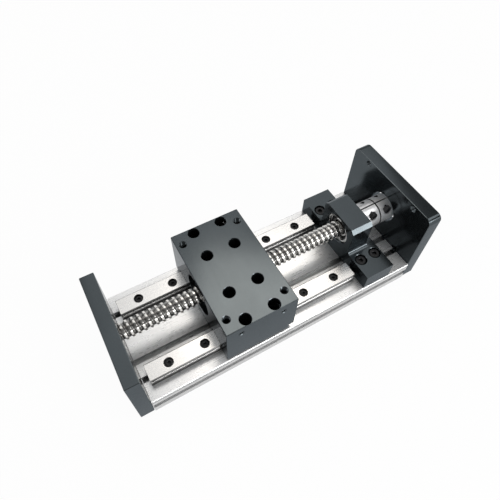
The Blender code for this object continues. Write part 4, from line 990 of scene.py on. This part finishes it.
class LINEARRAIL_OT_end_plate(PieceOperator, Operator):
    """Draw the plate at the idle end and its screws"""

    bl_idname = "linearrail.end_plate"
    bl_label = "End plate"

    def make(self, sizes, finishes):
        lo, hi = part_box("end_plate")
        hi.x = lo.x + END_PLATE_THICKNESS
        plate = add_block("milled_end_plate", lo, hi, sizes.edge_break)
        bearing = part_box("idler_bearing_outer_ring")
        pocket = (bearing[1].z - bearing[0].z) / 2 + SEAT
        step = shoulder(bearing[0].x - SEAT, SHAFT_WINDOW_RADIUS, pocket)
        radii = (SHAFT_WINDOW_RADIUS, pocket)
        cut(plate, add_bore((lo.x, hi.x), radii, step, sizes.mouth_break, sizes.round_sides))
        cut(plate, *plate_drills(lo.x, 1, hi.x - lo.x, sizes))
        install(shade(plate), "black_anodised", "frame", "end_plate")
        add_plate_screws("end_plate", lo.x, 1, hi.x - lo.x)


class LINEARRAIL_OT_motor_plate(PieceOperator, Operator):
    """Draw the motor plate and its screws"""

    bl_idname = "linearrail.motor_plate"
    bl_label = "Motor plate"

    def make(self, sizes, finishes):
        lo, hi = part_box("motor_plate")
        lo.x = hi.x - MOTOR_PLATE_THICKNESS
        thickness = hi.x - lo.x
        plate = add_block("milled_motor_plate", lo, hi)

        def at_top_corner(edge):
            one, other = (vertex.co for vertex in edge.verts)
            along_x = abs(one.y - other.y) < SAME_POINT and abs(one.z - other.z) < SAME_POINT
            return along_x and one.z > (lo.z + hi.z) / 2

        edit()
        pick(plate, "EDGE", at_top_corner)
        bpy.ops.mesh.bevel(offset=MOTOR_PLATE_CORNER, segments=10, affect="EDGES")
        leave_edit()
        break_edges(plate, sizes.edge_break)
        window = round_radius("coupling") + COUPLING_CLEARANCE
        step = shoulder(hi.x - PILOT_DEPTH, window, PILOT_RADIUS)
        radii = (window, PILOT_RADIUS)
        sides = sizes.round_sides + LARGE_EXTRA_SIDES
        cut(plate, add_bore((lo.x, hi.x), radii, step, sizes.mouth_break, sides))
        profile = self.through_hole(thickness, sizes.mouth_break)
        mouths = [(lo.x, u * MOTOR_HOLE_OFFSET, SCREW_Z + v * MOTOR_HOLE_OFFSET) for u, v in CORNERS]
        cut(plate, *[add_lathe("motor_hole", profile, mouth, X_AXIS, MOTOR_HOLE_SIDES) for mouth in mouths])
        cut(plate, *plate_drills(hi.x, -1, thickness, sizes))
        install(shade(plate), "black_anodised", "frame", "motor_plate")
        add_plate_screws("motor_plate", hi.x, -1, thickness)

    @staticmethod
    def through_hole(thickness, chamfer):
        """A tapped hole through the plate, broken at both mouths."""
        crest, root = MOTOR_HOLE_RADIUS, MOTOR_HOLE_RADIUS - THREAD_DEPTH * MOTOR_THREAD
        wide, out = crest + chamfer + OVERSHOOT, thickness + OVERSHOOT
        threads = ridges(chamfer, thickness - chamfer, crest, root, MOTOR_THREAD)
        return [(-OVERSHOOT, 0), (-OVERSHOOT, wide)] + threads + [(out, wide), (out, 0)]


def add_bearing_rings(prefix, sizes):
    """A bearing's two rings with round tracks, and the balls in the outer one."""
    outer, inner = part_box(prefix + "_outer_ring"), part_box(prefix + "_inner_ring")
    x0, x1, c = outer[0].x, outer[1].x, RING_CHAMFER
    mid = (x0 + x1) / 2
    outside = outer[1].z - SCREW_Z
    bore = inner[1].z - SCREW_Z - RING_WALL + SEAT
    track_out, track_in = outside - RING_WALL, bore + RING_WALL
    pitch = (track_out + track_in) / 2
    ball = (track_out - track_in) / 2 + BALL_SINK
    half_track = (ball ** 2 - (track_out - pitch) ** 2) ** 0.5
    lean = degrees(asin(half_track / ball))
    loose_ball = ball - SEAT / 2
    hollow = arc((0, 0), ball, 90 - lean, 90 + lean, TRACK_STEPS)
    outer_track = [(mid + u, pitch + v) for u, v in hollow]
    hollow = arc((0, 0), loose_ball, 90 + lean, 90 - lean, TRACK_STEPS)
    inner_track = [(mid + u, pitch - v) for u, v in hollow]
    profile = [(x0, track_out + c)] + rim(x0, x1, outside, c)
    profile += [(x1, track_out + c), (x1 - c, track_out)] + outer_track + [(x0 + c, track_out)]
    ring = add_turned(prefix + "_race_outer", profile, sizes.round_sides, ring=True)
    inside = bore + SEAT
    profile = [(x0, inside + c), (x0, track_in - c), (x0 + c, track_in)] + inner_track
    profile += [(x1 - c, track_in), (x1, track_in - c), (x1, inside + c), (x1 - c, inside), (x0 + c, inside)]
    inner_ring = add_turned(prefix + "_race_inner", profile, sizes.round_sides, ring=True)
    balls = [ring]
    for i in range(BALL_COUNT):
        turn = 2 * pi * (i + 0.5) / BALL_COUNT
        place = (mid, pitch * cos(turn), SCREW_Z + pitch * sin(turn))
        clear_selection()
        bpy.ops.mesh.primitive_uv_sphere_add(segments=BALL_SIDES, ring_count=BALL_RINGS, radius=loose_ball,
                                             location=place)
        balls.append(settle("ball"))
    install(shade(join(balls)), "bright_steel", "frame", prefix + "_outer_ring")
    install(shade(inner_ring), "bright_steel", "screw", prefix + "_inner_ring")


def add_shield(node, sizes):
    """A pressed shield: a flat ring with a raised bead."""
    lo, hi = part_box(node)
    outside = hi.z - SCREW_Z
    inside = round_radius(node.replace("shield", "inner_ring")) + SEAT
    span, proud = outside - inside, lo.x - SHIELD_BEAD
    bead = [(lo.x, inside + span * 0.25), (proud, inside + span * 0.35), (proud, inside + span * 0.6),
            (lo.x, inside + span * 0.7)]
    profile = [(lo.x, inside)] + bead + [(lo.x, outside), (hi.x, outside), (hi.x, inside)]
    shield = add_turned("pressed_" + node, profile, sizes.round_sides, ring=True)
    install(shade(shield), "black_seal", "frame", node)


def add_open_ring(name, node, inside):
    """A snap ring, open at the bottom."""
    lo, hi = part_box(node)
    outside = hi.z - SCREW_Z
    gap = RETAINER_GAP / 2 / outside
    start = -pi / 2 + gap
    section = ((inside, lo.x), (outside, lo.x), (outside, hi.x), (inside, hi.x))
    add_wire([(radius * cos(start), radius * sin(start), x) for radius, x in section])
    pick_all()
    bpy.ops.mesh.edge_face_add()
    bpy.ops.mesh.spin(steps=SNAP_RING_SIDES, angle=2 * pi - 2 * gap, center=(0, 0, 0), axis=(0, 0, 1))
    close_up()
    leave_edit()
    return settle(name, aim(on_axis(0), X_AXIS))


def add_pin(name, start, end, radius, place, sides):
    """A plain round bar along X."""
    return add_lathe(name, [(start, 0), (start, radius), (end, radius), (end, 0)], place, X_AXIS, sides)


def add_bore_ring(name, node, body):
    """A snap ring that springs out into a bore, with a drilled lug at each end."""
    lo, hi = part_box(node)
    outside = hi.z - SCREW_Z
    inside = outside - RETAINER_DEPTH - RETAINER_RIM
    ring = add_open_ring(name, node, inside)
    gap = RETAINER_GAP / 2 / outside
    reach = inside - LUG_RADIUS * LUG_OVERLAP
    lugs, holes = [], []
    for side in (-1, 1):
        turn = -pi / 2 + side * (gap + LUG_RADIUS / reach)
        place = (0, reach * cos(turn), SCREW_Z + reach * sin(turn))
        lugs.append(add_pin("lug", lo.x, hi.x, LUG_RADIUS, place, LUG_SIDES))
        hole = ("lug_hole", lo.x - OVERSHOOT, hi.x + OVERSHOOT, LUG_HOLE)
        holes.append(add_pin(*hole, place, LUG_HOLE_SIDES))
    for lug in lugs:
        unite(ring, lug)
    install(shade(cut(ring, *holes)), "bright_steel", body, node)


class LINEARRAIL_OT_bearings(PieceOperator, Operator):
    """Draw the bearings, their shields, snap rings and the lock nut"""

    bl_idname = "linearrail.bearings"
    bl_label = "Bearings"

    def make(self, sizes, finishes):
        for prefix in ("idler_bearing", "front_bearing", "rear_bearing"):
            add_bearing_rings(prefix, sizes)
        for node in ("idler_bearing_shield", "front_bearing_shield"):
            add_shield(node, sizes)
        add_bore_ring("snap_ring_housing", "housing_retaining_ring", "frame")
        ring = add_open_ring("snap_ring_idler", "idler_retaining_ring", IDLE_JOURNAL + SEAT)
        install(shade(ring), "bright_steel", "screw", "idler_retaining_ring")
        install(self.lock_nut(sizes), "black_screw", "screw", "lock_nut")

    @staticmethod
    def lock_nut(sizes):
        """The round nut, with notches in its rim."""
        lo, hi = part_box("lock_nut")
        radius, inside, c = hi.z - SCREW_Z, FIXED_JOURNAL + SEAT, TURNED_CHAMFER
        profile = [(lo.x, inside)] + rim(lo.x, hi.x, radius, c)
        profile += [(hi.x, inside + c / 2), (hi.x - c / 2, inside)]
        nut = add_turned("slotted_lock_nut", profile, sizes.round_sides, ring=True)
        tools = []
        for i in range(LOCK_NUT_NOTCHES):
            turn = Matrix.Rotation(2 * pi * (i + 0.5) / LOCK_NUT_NOTCHES, 4, "X")
            corner = (lo.x + 2 * c, -LOCK_NUT_NOTCH / 2, radius - 3 * c)
            far_corner = (hi.x + OVERSHOOT, LOCK_NUT_NOTCH / 2, radius + OVERSHOOT)
            choose(add_block("notch", corner, far_corner))
            tools.append(settle("notch", Matrix.Translation(on_axis(0)) @ turn))
        return shade(cut(nut, *tools))


class LINEARRAIL_OT_housing(PieceOperator, Operator):
    """Draw the bearing housing and its four screws"""

    bl_idname = "linearrail.housing"
    bl_label = "Bearing housing"

    def make(self, sizes, finishes):
        lo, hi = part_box("bearing_housing")
        out, foot_top = lo.x + HOUSING_LENGTH, lo.z + FOOT_HEIGHT
        housing = add_prism("milled_bearing_housing", self.outline(lo, hi, foot_top), lo.x, out)
        inner = max(round_radius("coupling") + COUPLING_CLEARANCE, HOUSING_WIDTH / 2 - HOUSING_FILLET)
        for side in (-1, 1):
            y0, y1 = sorted((side * inner, side * hi.y))
            unite(housing, add_block("heel", (lo.x + HOUSING_LENGTH / 2, y0, lo.z), (hi.x, y1, foot_top)))
        edit()
        pick_all()
        bpy.ops.mesh.dissolve_limited(angle_limit=radians(0.5))
        leave_edit()
        break_edges(housing, sizes.edge_break * 0.8)
        bearing = round_radius("front_bearing_outer_ring") + SEAT
        window = round_radius("lock_nut") + RUNNING_GAP
        steps = ring_groove("housing_retaining_ring", bearing)
        steps += shoulder(high("rear_bearing_outer_ring").x + SEAT, bearing, window)
        cut(housing, add_bore((lo.x, out), (bearing, window), steps, sizes.mouth_break, sizes.round_sides))
        screws = nodes_called("housing_screw_")
        stem = (LARGE_SCREW.shank + DRILL_GAP, FOOT_HEIGHT + OVERSHOOT)
        hole = (*FOOT_COUNTERBORE, sizes.mouth_break, stem)
        mouths = [(centre(name).x, centre(name).y, foot_top) for name in screws]
        cut(housing, *[add_drill(mouth, -Z_AXIS, *hole) for mouth in mouths])
        install(shade(housing), "black_anodised", "frame", "bearing_housing")
        add_screws_down(screws, LARGE_SCREW, "frame", slot_nuts=True)

    @staticmethod
    def outline(lo, hi, foot_top):
        """A tower that flares into two feet through fillets."""
        half, f, c = HOUSING_WIDTH / 2, HOUSING_FILLET, HOUSING_CHAMFER
        right = [(hi.y, lo.z), (hi.y, foot_top)]
        right += arc((half + f, foot_top + f), f, 270, 180, ARC_STEPS)
        right += [(half, hi.z - c), (half - c, hi.z)]
        return right + [(-y, z) for y, z in reversed(right)]


class LINEARRAIL_OT_ball_screw(PieceOperator, Operator):
    """Draw the ball screw with its round thread and journals"""

    bl_idname = "linearrail.ball_screw"
    bl_label = "Ball screw"

    def make(self, sizes, finishes):
        lo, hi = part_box("ball_screw")
        start = high("idler_bearing_outer_ring").x + SEAT
        end = low("front_bearing_outer_ring").x - SEAT
        screw = self.thread(sizes, start, end)
        step, c = high("lock_nut").x, TURNED_CHAMFER
        profile = [(lo.x, 0), (lo.x, IDLE_JOURNAL - c), (lo.x + c, IDLE_JOURNAL)]
        profile += [(start + THREAD_RUNOUT / 2, IDLE_JOURNAL), (start + THREAD_RUNOUT, IDLE_JOURNAL - c)]
        profile += shoulder(end - THREAD_RUNOUT, IDLE_JOURNAL - c, FIXED_JOURNAL)
        profile += [(step - c / 2, FIXED_JOURNAL), (step, FIXED_JOURNAL - c / 2), (step, DRIVE_JOURNAL)]
        profile += [(hi.x - c, DRIVE_JOURNAL), (hi.x, DRIVE_JOURNAL - c), (hi.x, 0)]
        core = add_turned("core", profile, sizes.round_sides)
        install(shade(unite(screw, core), 38), "rolled_steel", "screw", "ball_screw")

    @staticmethod
    def thread(sizes, start, end):
        """Sweep one pitch of the thread round and along the axis, and cut both ends square."""
        half, depth = (LEAD - LAND) / 2, GROOVE_DEPTH
        radius = (half * half + depth * depth) / (2 * depth)
        lean = degrees(asin(half / radius))
        middle = ((LEAD + LAND) / 2, SCREW_RADIUS - depth + radius)
        hollow = arc(middle, radius, 270 - lean, 270 + lean, ARC_STEPS)
        brink = SCREW_RADIUS - LAND_LIP / 2
        pitch_line = [(0.0, brink), (LAND_LIP, SCREW_RADIUS), (LAND - LAND_LIP, SCREW_RADIUS)]
        pitch_line += [(along, min(r, brink)) for along, r in hollow[:-1]] + [(LEAD, brink)]
        origin = start - LEAD
        add_wire([(r, 0, origin + along) for along, r in pitch_line])
        leave_edit()
        screw = settle("rolled_ball_screw")
        turns = floor((end - origin) / LEAD) + 2
        steps = sizes.thread_steps
        apply_modifier(screw, "SCREW", steps=steps, render_steps=steps, iterations=turns, screw_offset=LEAD,
                       use_merge_vertices=True, merge_threshold=SAME_POINT)
        screw = settle(screw.name, aim(on_axis(0), X_AXIS))
        edit()
        close_up()
        for place, outward in ((start, -1), (end, 1)):
            pick_all()
            bpy.ops.mesh.bisect(plane_co=on_axis(place), plane_no=(outward, 0, 0), use_fill=True,
                                clear_outer=True, threshold=SAME_PLANE)
        close_up()
        leave_edit()
        return screw


class LINEARRAIL_OT_coupling(PieceOperator, Operator):
    """Draw the clamp coupling and its two screws"""

    bl_idname = "linearrail.coupling"
    bl_label = "Coupling"

    def make(self, sizes, finishes):
        lo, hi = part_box("coupling")
        radius, mid, c = hi.z - SCREW_Z, (lo.x + hi.x) / 2, COUPLING_CHAMFER
        profile = [(lo.x, 0)] + rim(lo.x, hi.x, radius, c) + [(hi.x, 0)]
        body = add_turned("clamp_coupling", profile, sizes.round_sides + LARGE_EXTRA_SIDES)
        screw_bore, motor_bore = DRIVE_JOURNAL + SEAT, MOTOR_SHAFT_RADIUS + SEAT / 2
        step = shoulder(mid, screw_bore, motor_bore)
        cut(body, add_bore((lo.x, hi.x), (screw_bore, motor_bore), step, c, HOLE_SIDES))
        slit, over = COUPLING_SLIT / 2, radius + OVERSHOOT
        low_x, high_x, top = lo.x - OVERSHOOT, hi.x + OVERSHOOT, SCREW_Z + over
        cut(body, add_block("long_slit", (low_x, -slit, SCREW_Z), (high_x, slit, top)))
        cut(body, add_block("cross_slit", (mid - slit, -over, SCREW_Z - over), (mid + slit, 0, top)))
        nodes = ("clamp_screw_coupling_screw_side", "clamp_screw_motor_shaft_side")
        profile = self.clamp_hole(radius)
        mouths = [(centre(node).x, -CLAMP_HEAD_SEAT, centre(node).z) for node in nodes]
        cut(body, *[add_lathe("clamp_drill", profile, mouth, Y_AXIS, CLAMP_HOLE_SIDES) for mouth in mouths])
        install(shade(body), "bright_aluminium", "screw", "coupling")
        seat = -CLAMP_HEAD_SEAT - SEAT
        places = [("cap_" + node, (centre(node).x, seat, centre(node).z), node) for node in nodes]
        reach = CLAMP_HEAD_SEAT + CLAMP_REACH
        add_screws(SMALL_SCREW, reach, Y_AXIS, "screw", places, CLAMP_SCREW_TURN)

    @staticmethod
    def clamp_hole(radius):
        """The hole of a clamp screw, from outside the coupling to the end of the screw."""
        wide, narrow = SMALL_SCREW.head + DRILL_GAP, SMALL_SCREW.shank + DRILL_GAP
        outside, bottom = -OVERSHOOT - radius + CLAMP_HEAD_SEAT, CLAMP_HEAD_SEAT + CLAMP_REACH + SEAT
        return [(outside, 0), (outside, wide), (0, wide), (0, narrow), (bottom, narrow), (bottom, 0)]


class LINEARRAIL_OT_saddle(PieceOperator, Operator):
    """Draw the carriage's saddle with all its holes"""

    bl_idname = "linearrail.saddle"
    bl_label = "Carriage saddle"

    def make(self, sizes, finishes):
        lo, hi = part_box("carriage_saddle")
        under, gap = lo.z - OVERSHOOT, 2 * RUNNING_GAP
        saddle = add_block("milled_saddle", lo, hi, sizes.edge_break)
        for side in ("near", "far"):
            guide, rail = grown(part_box("guide_block_" + side), SEAT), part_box("rail_" + side)
            x0 = low(side + "_block_end_cap_left").x - SEAT
            x1 = high(side + "_block_end_cap_right").x + SEAT
            cut(saddle, add_block("pocket", (x0, guide[0].y, under), (x1, guide[1].y, guide[1].z)))
            corner = (lo.x - OVERSHOOT, rail[0].y - gap, under)
            far_corner = (hi.x + OVERSHOOT, rail[1].y + gap, rail[1].z + gap)
            cut(saddle, add_block("rail_notch", corner, far_corner))
        length, height = SADDLE_RELIEF
        far_corner = (hi.x + OVERSHOOT, hi.y + OVERSHOOT, lo.z + height)
        cut(saddle, add_block("relief", (hi.x - length, lo.y - OVERSHOOT, under), far_corner))
        cut(saddle, self.nut_bore(lo, hi, sizes))
        key = grown(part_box("nut_key"), SEAT)
        cut(saddle, add_block("keyway", key[0], (key[1].x, key[1].y, SCREW_Z - NUT_RADIUS / 2)))
        cut(saddle, *self.deck_drills(hi, sizes))
        cut(saddle, *self.tapped_holes(lo, hi, sizes))
        install(shade(saddle), "black_anodised", "carriage", "carriage_saddle")

    @staticmethod
    def nut_bore(lo, hi, sizes):
        """The stepped bore for the ball nut with its two snap ring grooves."""
        c, bore = sizes.mouth_break, NUT_RADIUS + SEAT
        mouth, depth = BORE_MOUTH
        steps = shoulder(lo.x + depth, mouth, bore + c) + [(lo.x + depth + c, bore)]
        for node in ("nut_retaining_ring_left", "nut_retaining_ring_right"):
            steps += ring_groove(node, bore)
        steps += [(hi.x - depth - c, bore)] + shoulder(hi.x - depth, bore + c, mouth)
        return add_bore((lo.x, hi.x), (mouth, mouth), steps, c, sizes.round_sides + LARGE_EXTRA_SIDES)

    @staticmethod
    def deck_drills(hi, sizes):
        """The deep counterbored holes for the guide blocks' screws."""
        stem = (SMALL_SCREW.shank + DRILL_GAP, hi.z - high("guide_block_near").z + OVERSHOOT)
        drills = []
        for i in range(BLOCK_SCREWS):
            bottom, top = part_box(f"guide_block_screw_{i + 1}")
            mouth = ((bottom.x + top.x) / 2, (bottom.y + top.y) / 2, hi.z)
            depth = hi.z - (top.z - SMALL_SCREW.height - SEAT)
            drills.append(add_drill(mouth, -Z_AXIS, DECK_HOLE_RADIUS, depth, sizes.mouth_break, stem))
        return drills

    @staticmethod
    def tapped_holes(lo, hi, sizes):
        """The tapped holes for the load in the deck, and for brackets in both sides."""
        mid, c = (lo.x + hi.x) / 2, sizes.mouth_break
        drills = []
        for i, j in CORNERS:
            mouth = (mid + i * LOAD_HOLE_OFFSET[0], j * LOAD_HOLE_OFFSET[1], hi.z)
            drills.append(add_drill(mouth, -Z_AXIS, *LOAD_HOLE, c, pitch=LOAD_THREAD))
            mouth = (mid + i * SIDE_HOLE_OFFSET[0], hi.y if j > 0 else lo.y, hi.z - SIDE_HOLE_OFFSET[1])
            drills.append(add_drill(mouth, -Y_AXIS * j, *SIDE_HOLE, c, pitch=SIDE_THREAD))
        return drills


class LINEARRAIL_OT_carriage(PieceOperator, Operator):
    """Draw the ball nut, its rings and wipers, and the guide blocks' screws"""

    bl_idname = "linearrail.carriage"
    bl_label = "Ball nut and screws"

    def make(self, sizes, finishes):
        self.ball_nut(sizes)
        for end in ("left", "right"):
            add_bore_ring("snap_ring_nut_" + end, "nut_retaining_ring_" + end, "carriage")
            self.wiper("nut_wiper_" + end, sizes)
        screws = [f"guide_block_screw_{i + 1}" for i in range(BLOCK_SCREWS)]
        add_screws_down(screws, SMALL_SCREW, "carriage", BLOCK_SCREW_TURN)

    @staticmethod
    def ball_nut(sizes):
        """The nut's body, with a recess for a wiper at each end and a slot for its key."""
        lo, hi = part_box("ball_nut")
        x0, x1, c = lo.x, hi.x, TURNED_CHAMFER
        inside = SCREW_RADIUS + DRILL_GAP
        recess, depth = NUT_RECESS
        profile = [(x0, recess + c / 2)] + rim(x0, x1, NUT_RADIUS, c)
        profile += [(x1, recess + c / 2), (x1 - c / 2, recess)]
        profile += shoulder(x1 - depth, recess, inside + c)
        profile += [(x1 - depth - c, inside), (x0 + depth + c, inside)]
        profile += shoulder(x0 + depth, inside + c, recess) + [(x0 + c / 2, recess)]
        nut = add_turned("ground_ball_nut", profile, sizes.round_sides, ring=True)
        cut(nut, add_block("key_slot", *grown(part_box("nut_key"), SEAT)))
        install(shade(nut), "bright_steel", "carriage", "ball_nut")

    @staticmethod
    def wiper(node, sizes):
        """A ring that wipes the thread at one end of the nut."""
        lo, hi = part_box(node)
        x0, x1, c = lo.x, hi.x, WIPER_CHAMFER
        inside = SCREW_RADIUS + DRILL_GAP
        profile = [(x0, inside + c)] + rim(x0, x1, hi.z - SCREW_Z, c)
        profile += [(x1, inside + c), (x1 - c, inside), (x0 + c, inside)]
        ring = add_turned("felt_" + node, profile, sizes.round_sides, ring=True)
        install(shade(ring), "black_plastic", "carriage", node)


class LINEARRAIL_OT_stage(PieceOperator, Operator):
    """Set the floor, the white room, the lamps and the camera"""

    bl_idname = "linearrail.stage"
    bl_label = "Stage and camera"

    def make(self, sizes, finishes):
        scene = bpy.context.scene
        scene.view_settings.view_transform = "Standard"
        self.camera(scene)
        self.floor()
        self.room(scene, sizes.room_light)
        for name, (place, size, colour) in LAMPS.items():
            self.lamp(name, place, size, colour, getattr(sizes, name))

    @staticmethod
    def camera(scene):
        data = bpy.data.cameras.new("camera")
        data.lens = CAMERA_LENS
        data.shift_x, data.shift_y = CAMERA_SHIFT
        data.clip_start = NEAREST_SEEN
        camera = bpy.data.objects.new("camera", data)
        scene.collection.objects.link(camera)
        camera.location = CAMERA_PLACE
        camera.rotation_euler = [radians(turn) for turn in CAMERA_TURN]
        scene.camera = camera

    @staticmethod
    def floor():
        """A white floor: it shows white to cameras and mirrors, and keeps a soft shadow."""
        clear_selection()
        bpy.ops.mesh.primitive_plane_add(size=FLOOR_SIZE, location=(0, 0, CAD_BOX[0].z - FLOOR_DROP))
        floor_piece = settle("studio_floor")
        look = Look("floor_paint")
        for name, value in {"Base Color": FLOOR_COLOUR, "Roughness": 0.9, "Specular IOR Level": 0.0}.items():
            look.feed(look.shader.inputs[name], value)
        camera, glossy, transmission = (look.node("ShaderNodeLightPath", output=f"Is {kind} Ray")
                                        for kind in ("Camera", "Glossy", "Transmission"))
        seen = look.math("ADD", camera + glossy, transmission, clamp=True)
        glow = look.node("ShaderNodeEmission", None, {"Color": WHITE})
        paint = Value(look, look.shader.outputs[0])
        mixed = look.node("ShaderNodeMixShader", None, {0: seen * FLOOR_GLOW, 1: paint, 2: glow})
        look.feed(look.tree.nodes["Material Output"].inputs["Surface"], mixed)
        floor_piece.data.materials.append(look.material)

    @staticmethod
    def room(scene, ceiling):
        """A room that is white to the camera and round the horizon, and grey overhead."""
        world = bpy.data.worlds.new("white_room")
        scene.world = world
        sky = Wiring(world)
        height = sky.height_of(sky.node("ShaderNodeTexCoord", output="Generated"))
        level = height.ramp(sin(radians(HORIZON_TOP)), sin(radians(CEILING_START)), 1.0, ceiling)
        camera = sky.node("ShaderNodeLightPath", output="Is Camera Ray")
        background = sky.tree.nodes["Background"]
        sky.feed(background.inputs["Strength"], sky.math("MAXIMUM", level, camera))
        sky.feed(background.inputs["Color"], WHITE)

    @staticmethod
    def lamp(name, place, size, colour, power):
        """A rectangular lamp that faces the middle of the rail."""
        data = bpy.data.lights.new(name, "AREA")
        data.shape = "RECTANGLE"
        data.size, data.size_y = size
        data.energy = power
        data.color = colour
        lamp = bpy.data.objects.new(name, data)
        bpy.context.scene.collection.objects.link(lamp)
        lamp.location = place
        lamp.rotation_euler = (centre("base_extrusion") - Vector(place)).to_track_quat("-Z", "Y").to_euler()


PIECES = (
    LINEARRAIL_OT_finishes,
    LINEARRAIL_OT_rails,
    LINEARRAIL_OT_end_plate,
    LINEARRAIL_OT_motor_plate,
    LINEARRAIL_OT_housing,
    LINEARRAIL_OT_bearings,
    LINEARRAIL_OT_ball_screw,
    LINEARRAIL_OT_coupling,
    LINEARRAIL_OT_saddle,
    LINEARRAIL_OT_carriage,
    LINEARRAIL_OT_stage,
)


class LINEARRAIL_PT_pieces(Panel):
    """Lists the pieces, their sizes and their finishes"""

    bl_idname = "LINEARRAIL_PT_pieces"
    bl_label = "Linear Rail"
    bl_space_type = "VIEW_3D"
    bl_region_type = "UI"
    bl_category = "Linear Rail"

    def draw(self, context):
        for settings in (context.scene.rail_sizes, context.scene.rail_finishes):
            column = self.layout.column(align=True)
            for name in settings.__annotations__:
                column.prop(settings, name)
        column = self.layout.column(align=True)
        for piece in PIECES:
            column.operator(piece.bl_idname)


CLASSES = (RailSizes, RailFinishes, *PIECES, LINEARRAIL_PT_pieces)


def register():
    for item in CLASSES:
        bpy.utils.register_class(item)
    bpy.types.Scene.rail_sizes = PointerProperty(type=RailSizes)
    bpy.types.Scene.rail_finishes = PointerProperty(type=RailFinishes)


def unregister():
    del bpy.types.Scene.rail_finishes
    del bpy.types.Scene.rail_sizes
    for item in reversed(CLASSES):
        bpy.utils.unregister_class(item)


def main():
    """Make every piece in order."""
    register()
    for piece in PIECES:
        group, name = piece.bl_idname.split(".")
        getattr(getattr(bpy.ops, group), name)()


if __name__ == "__main__":
    main()
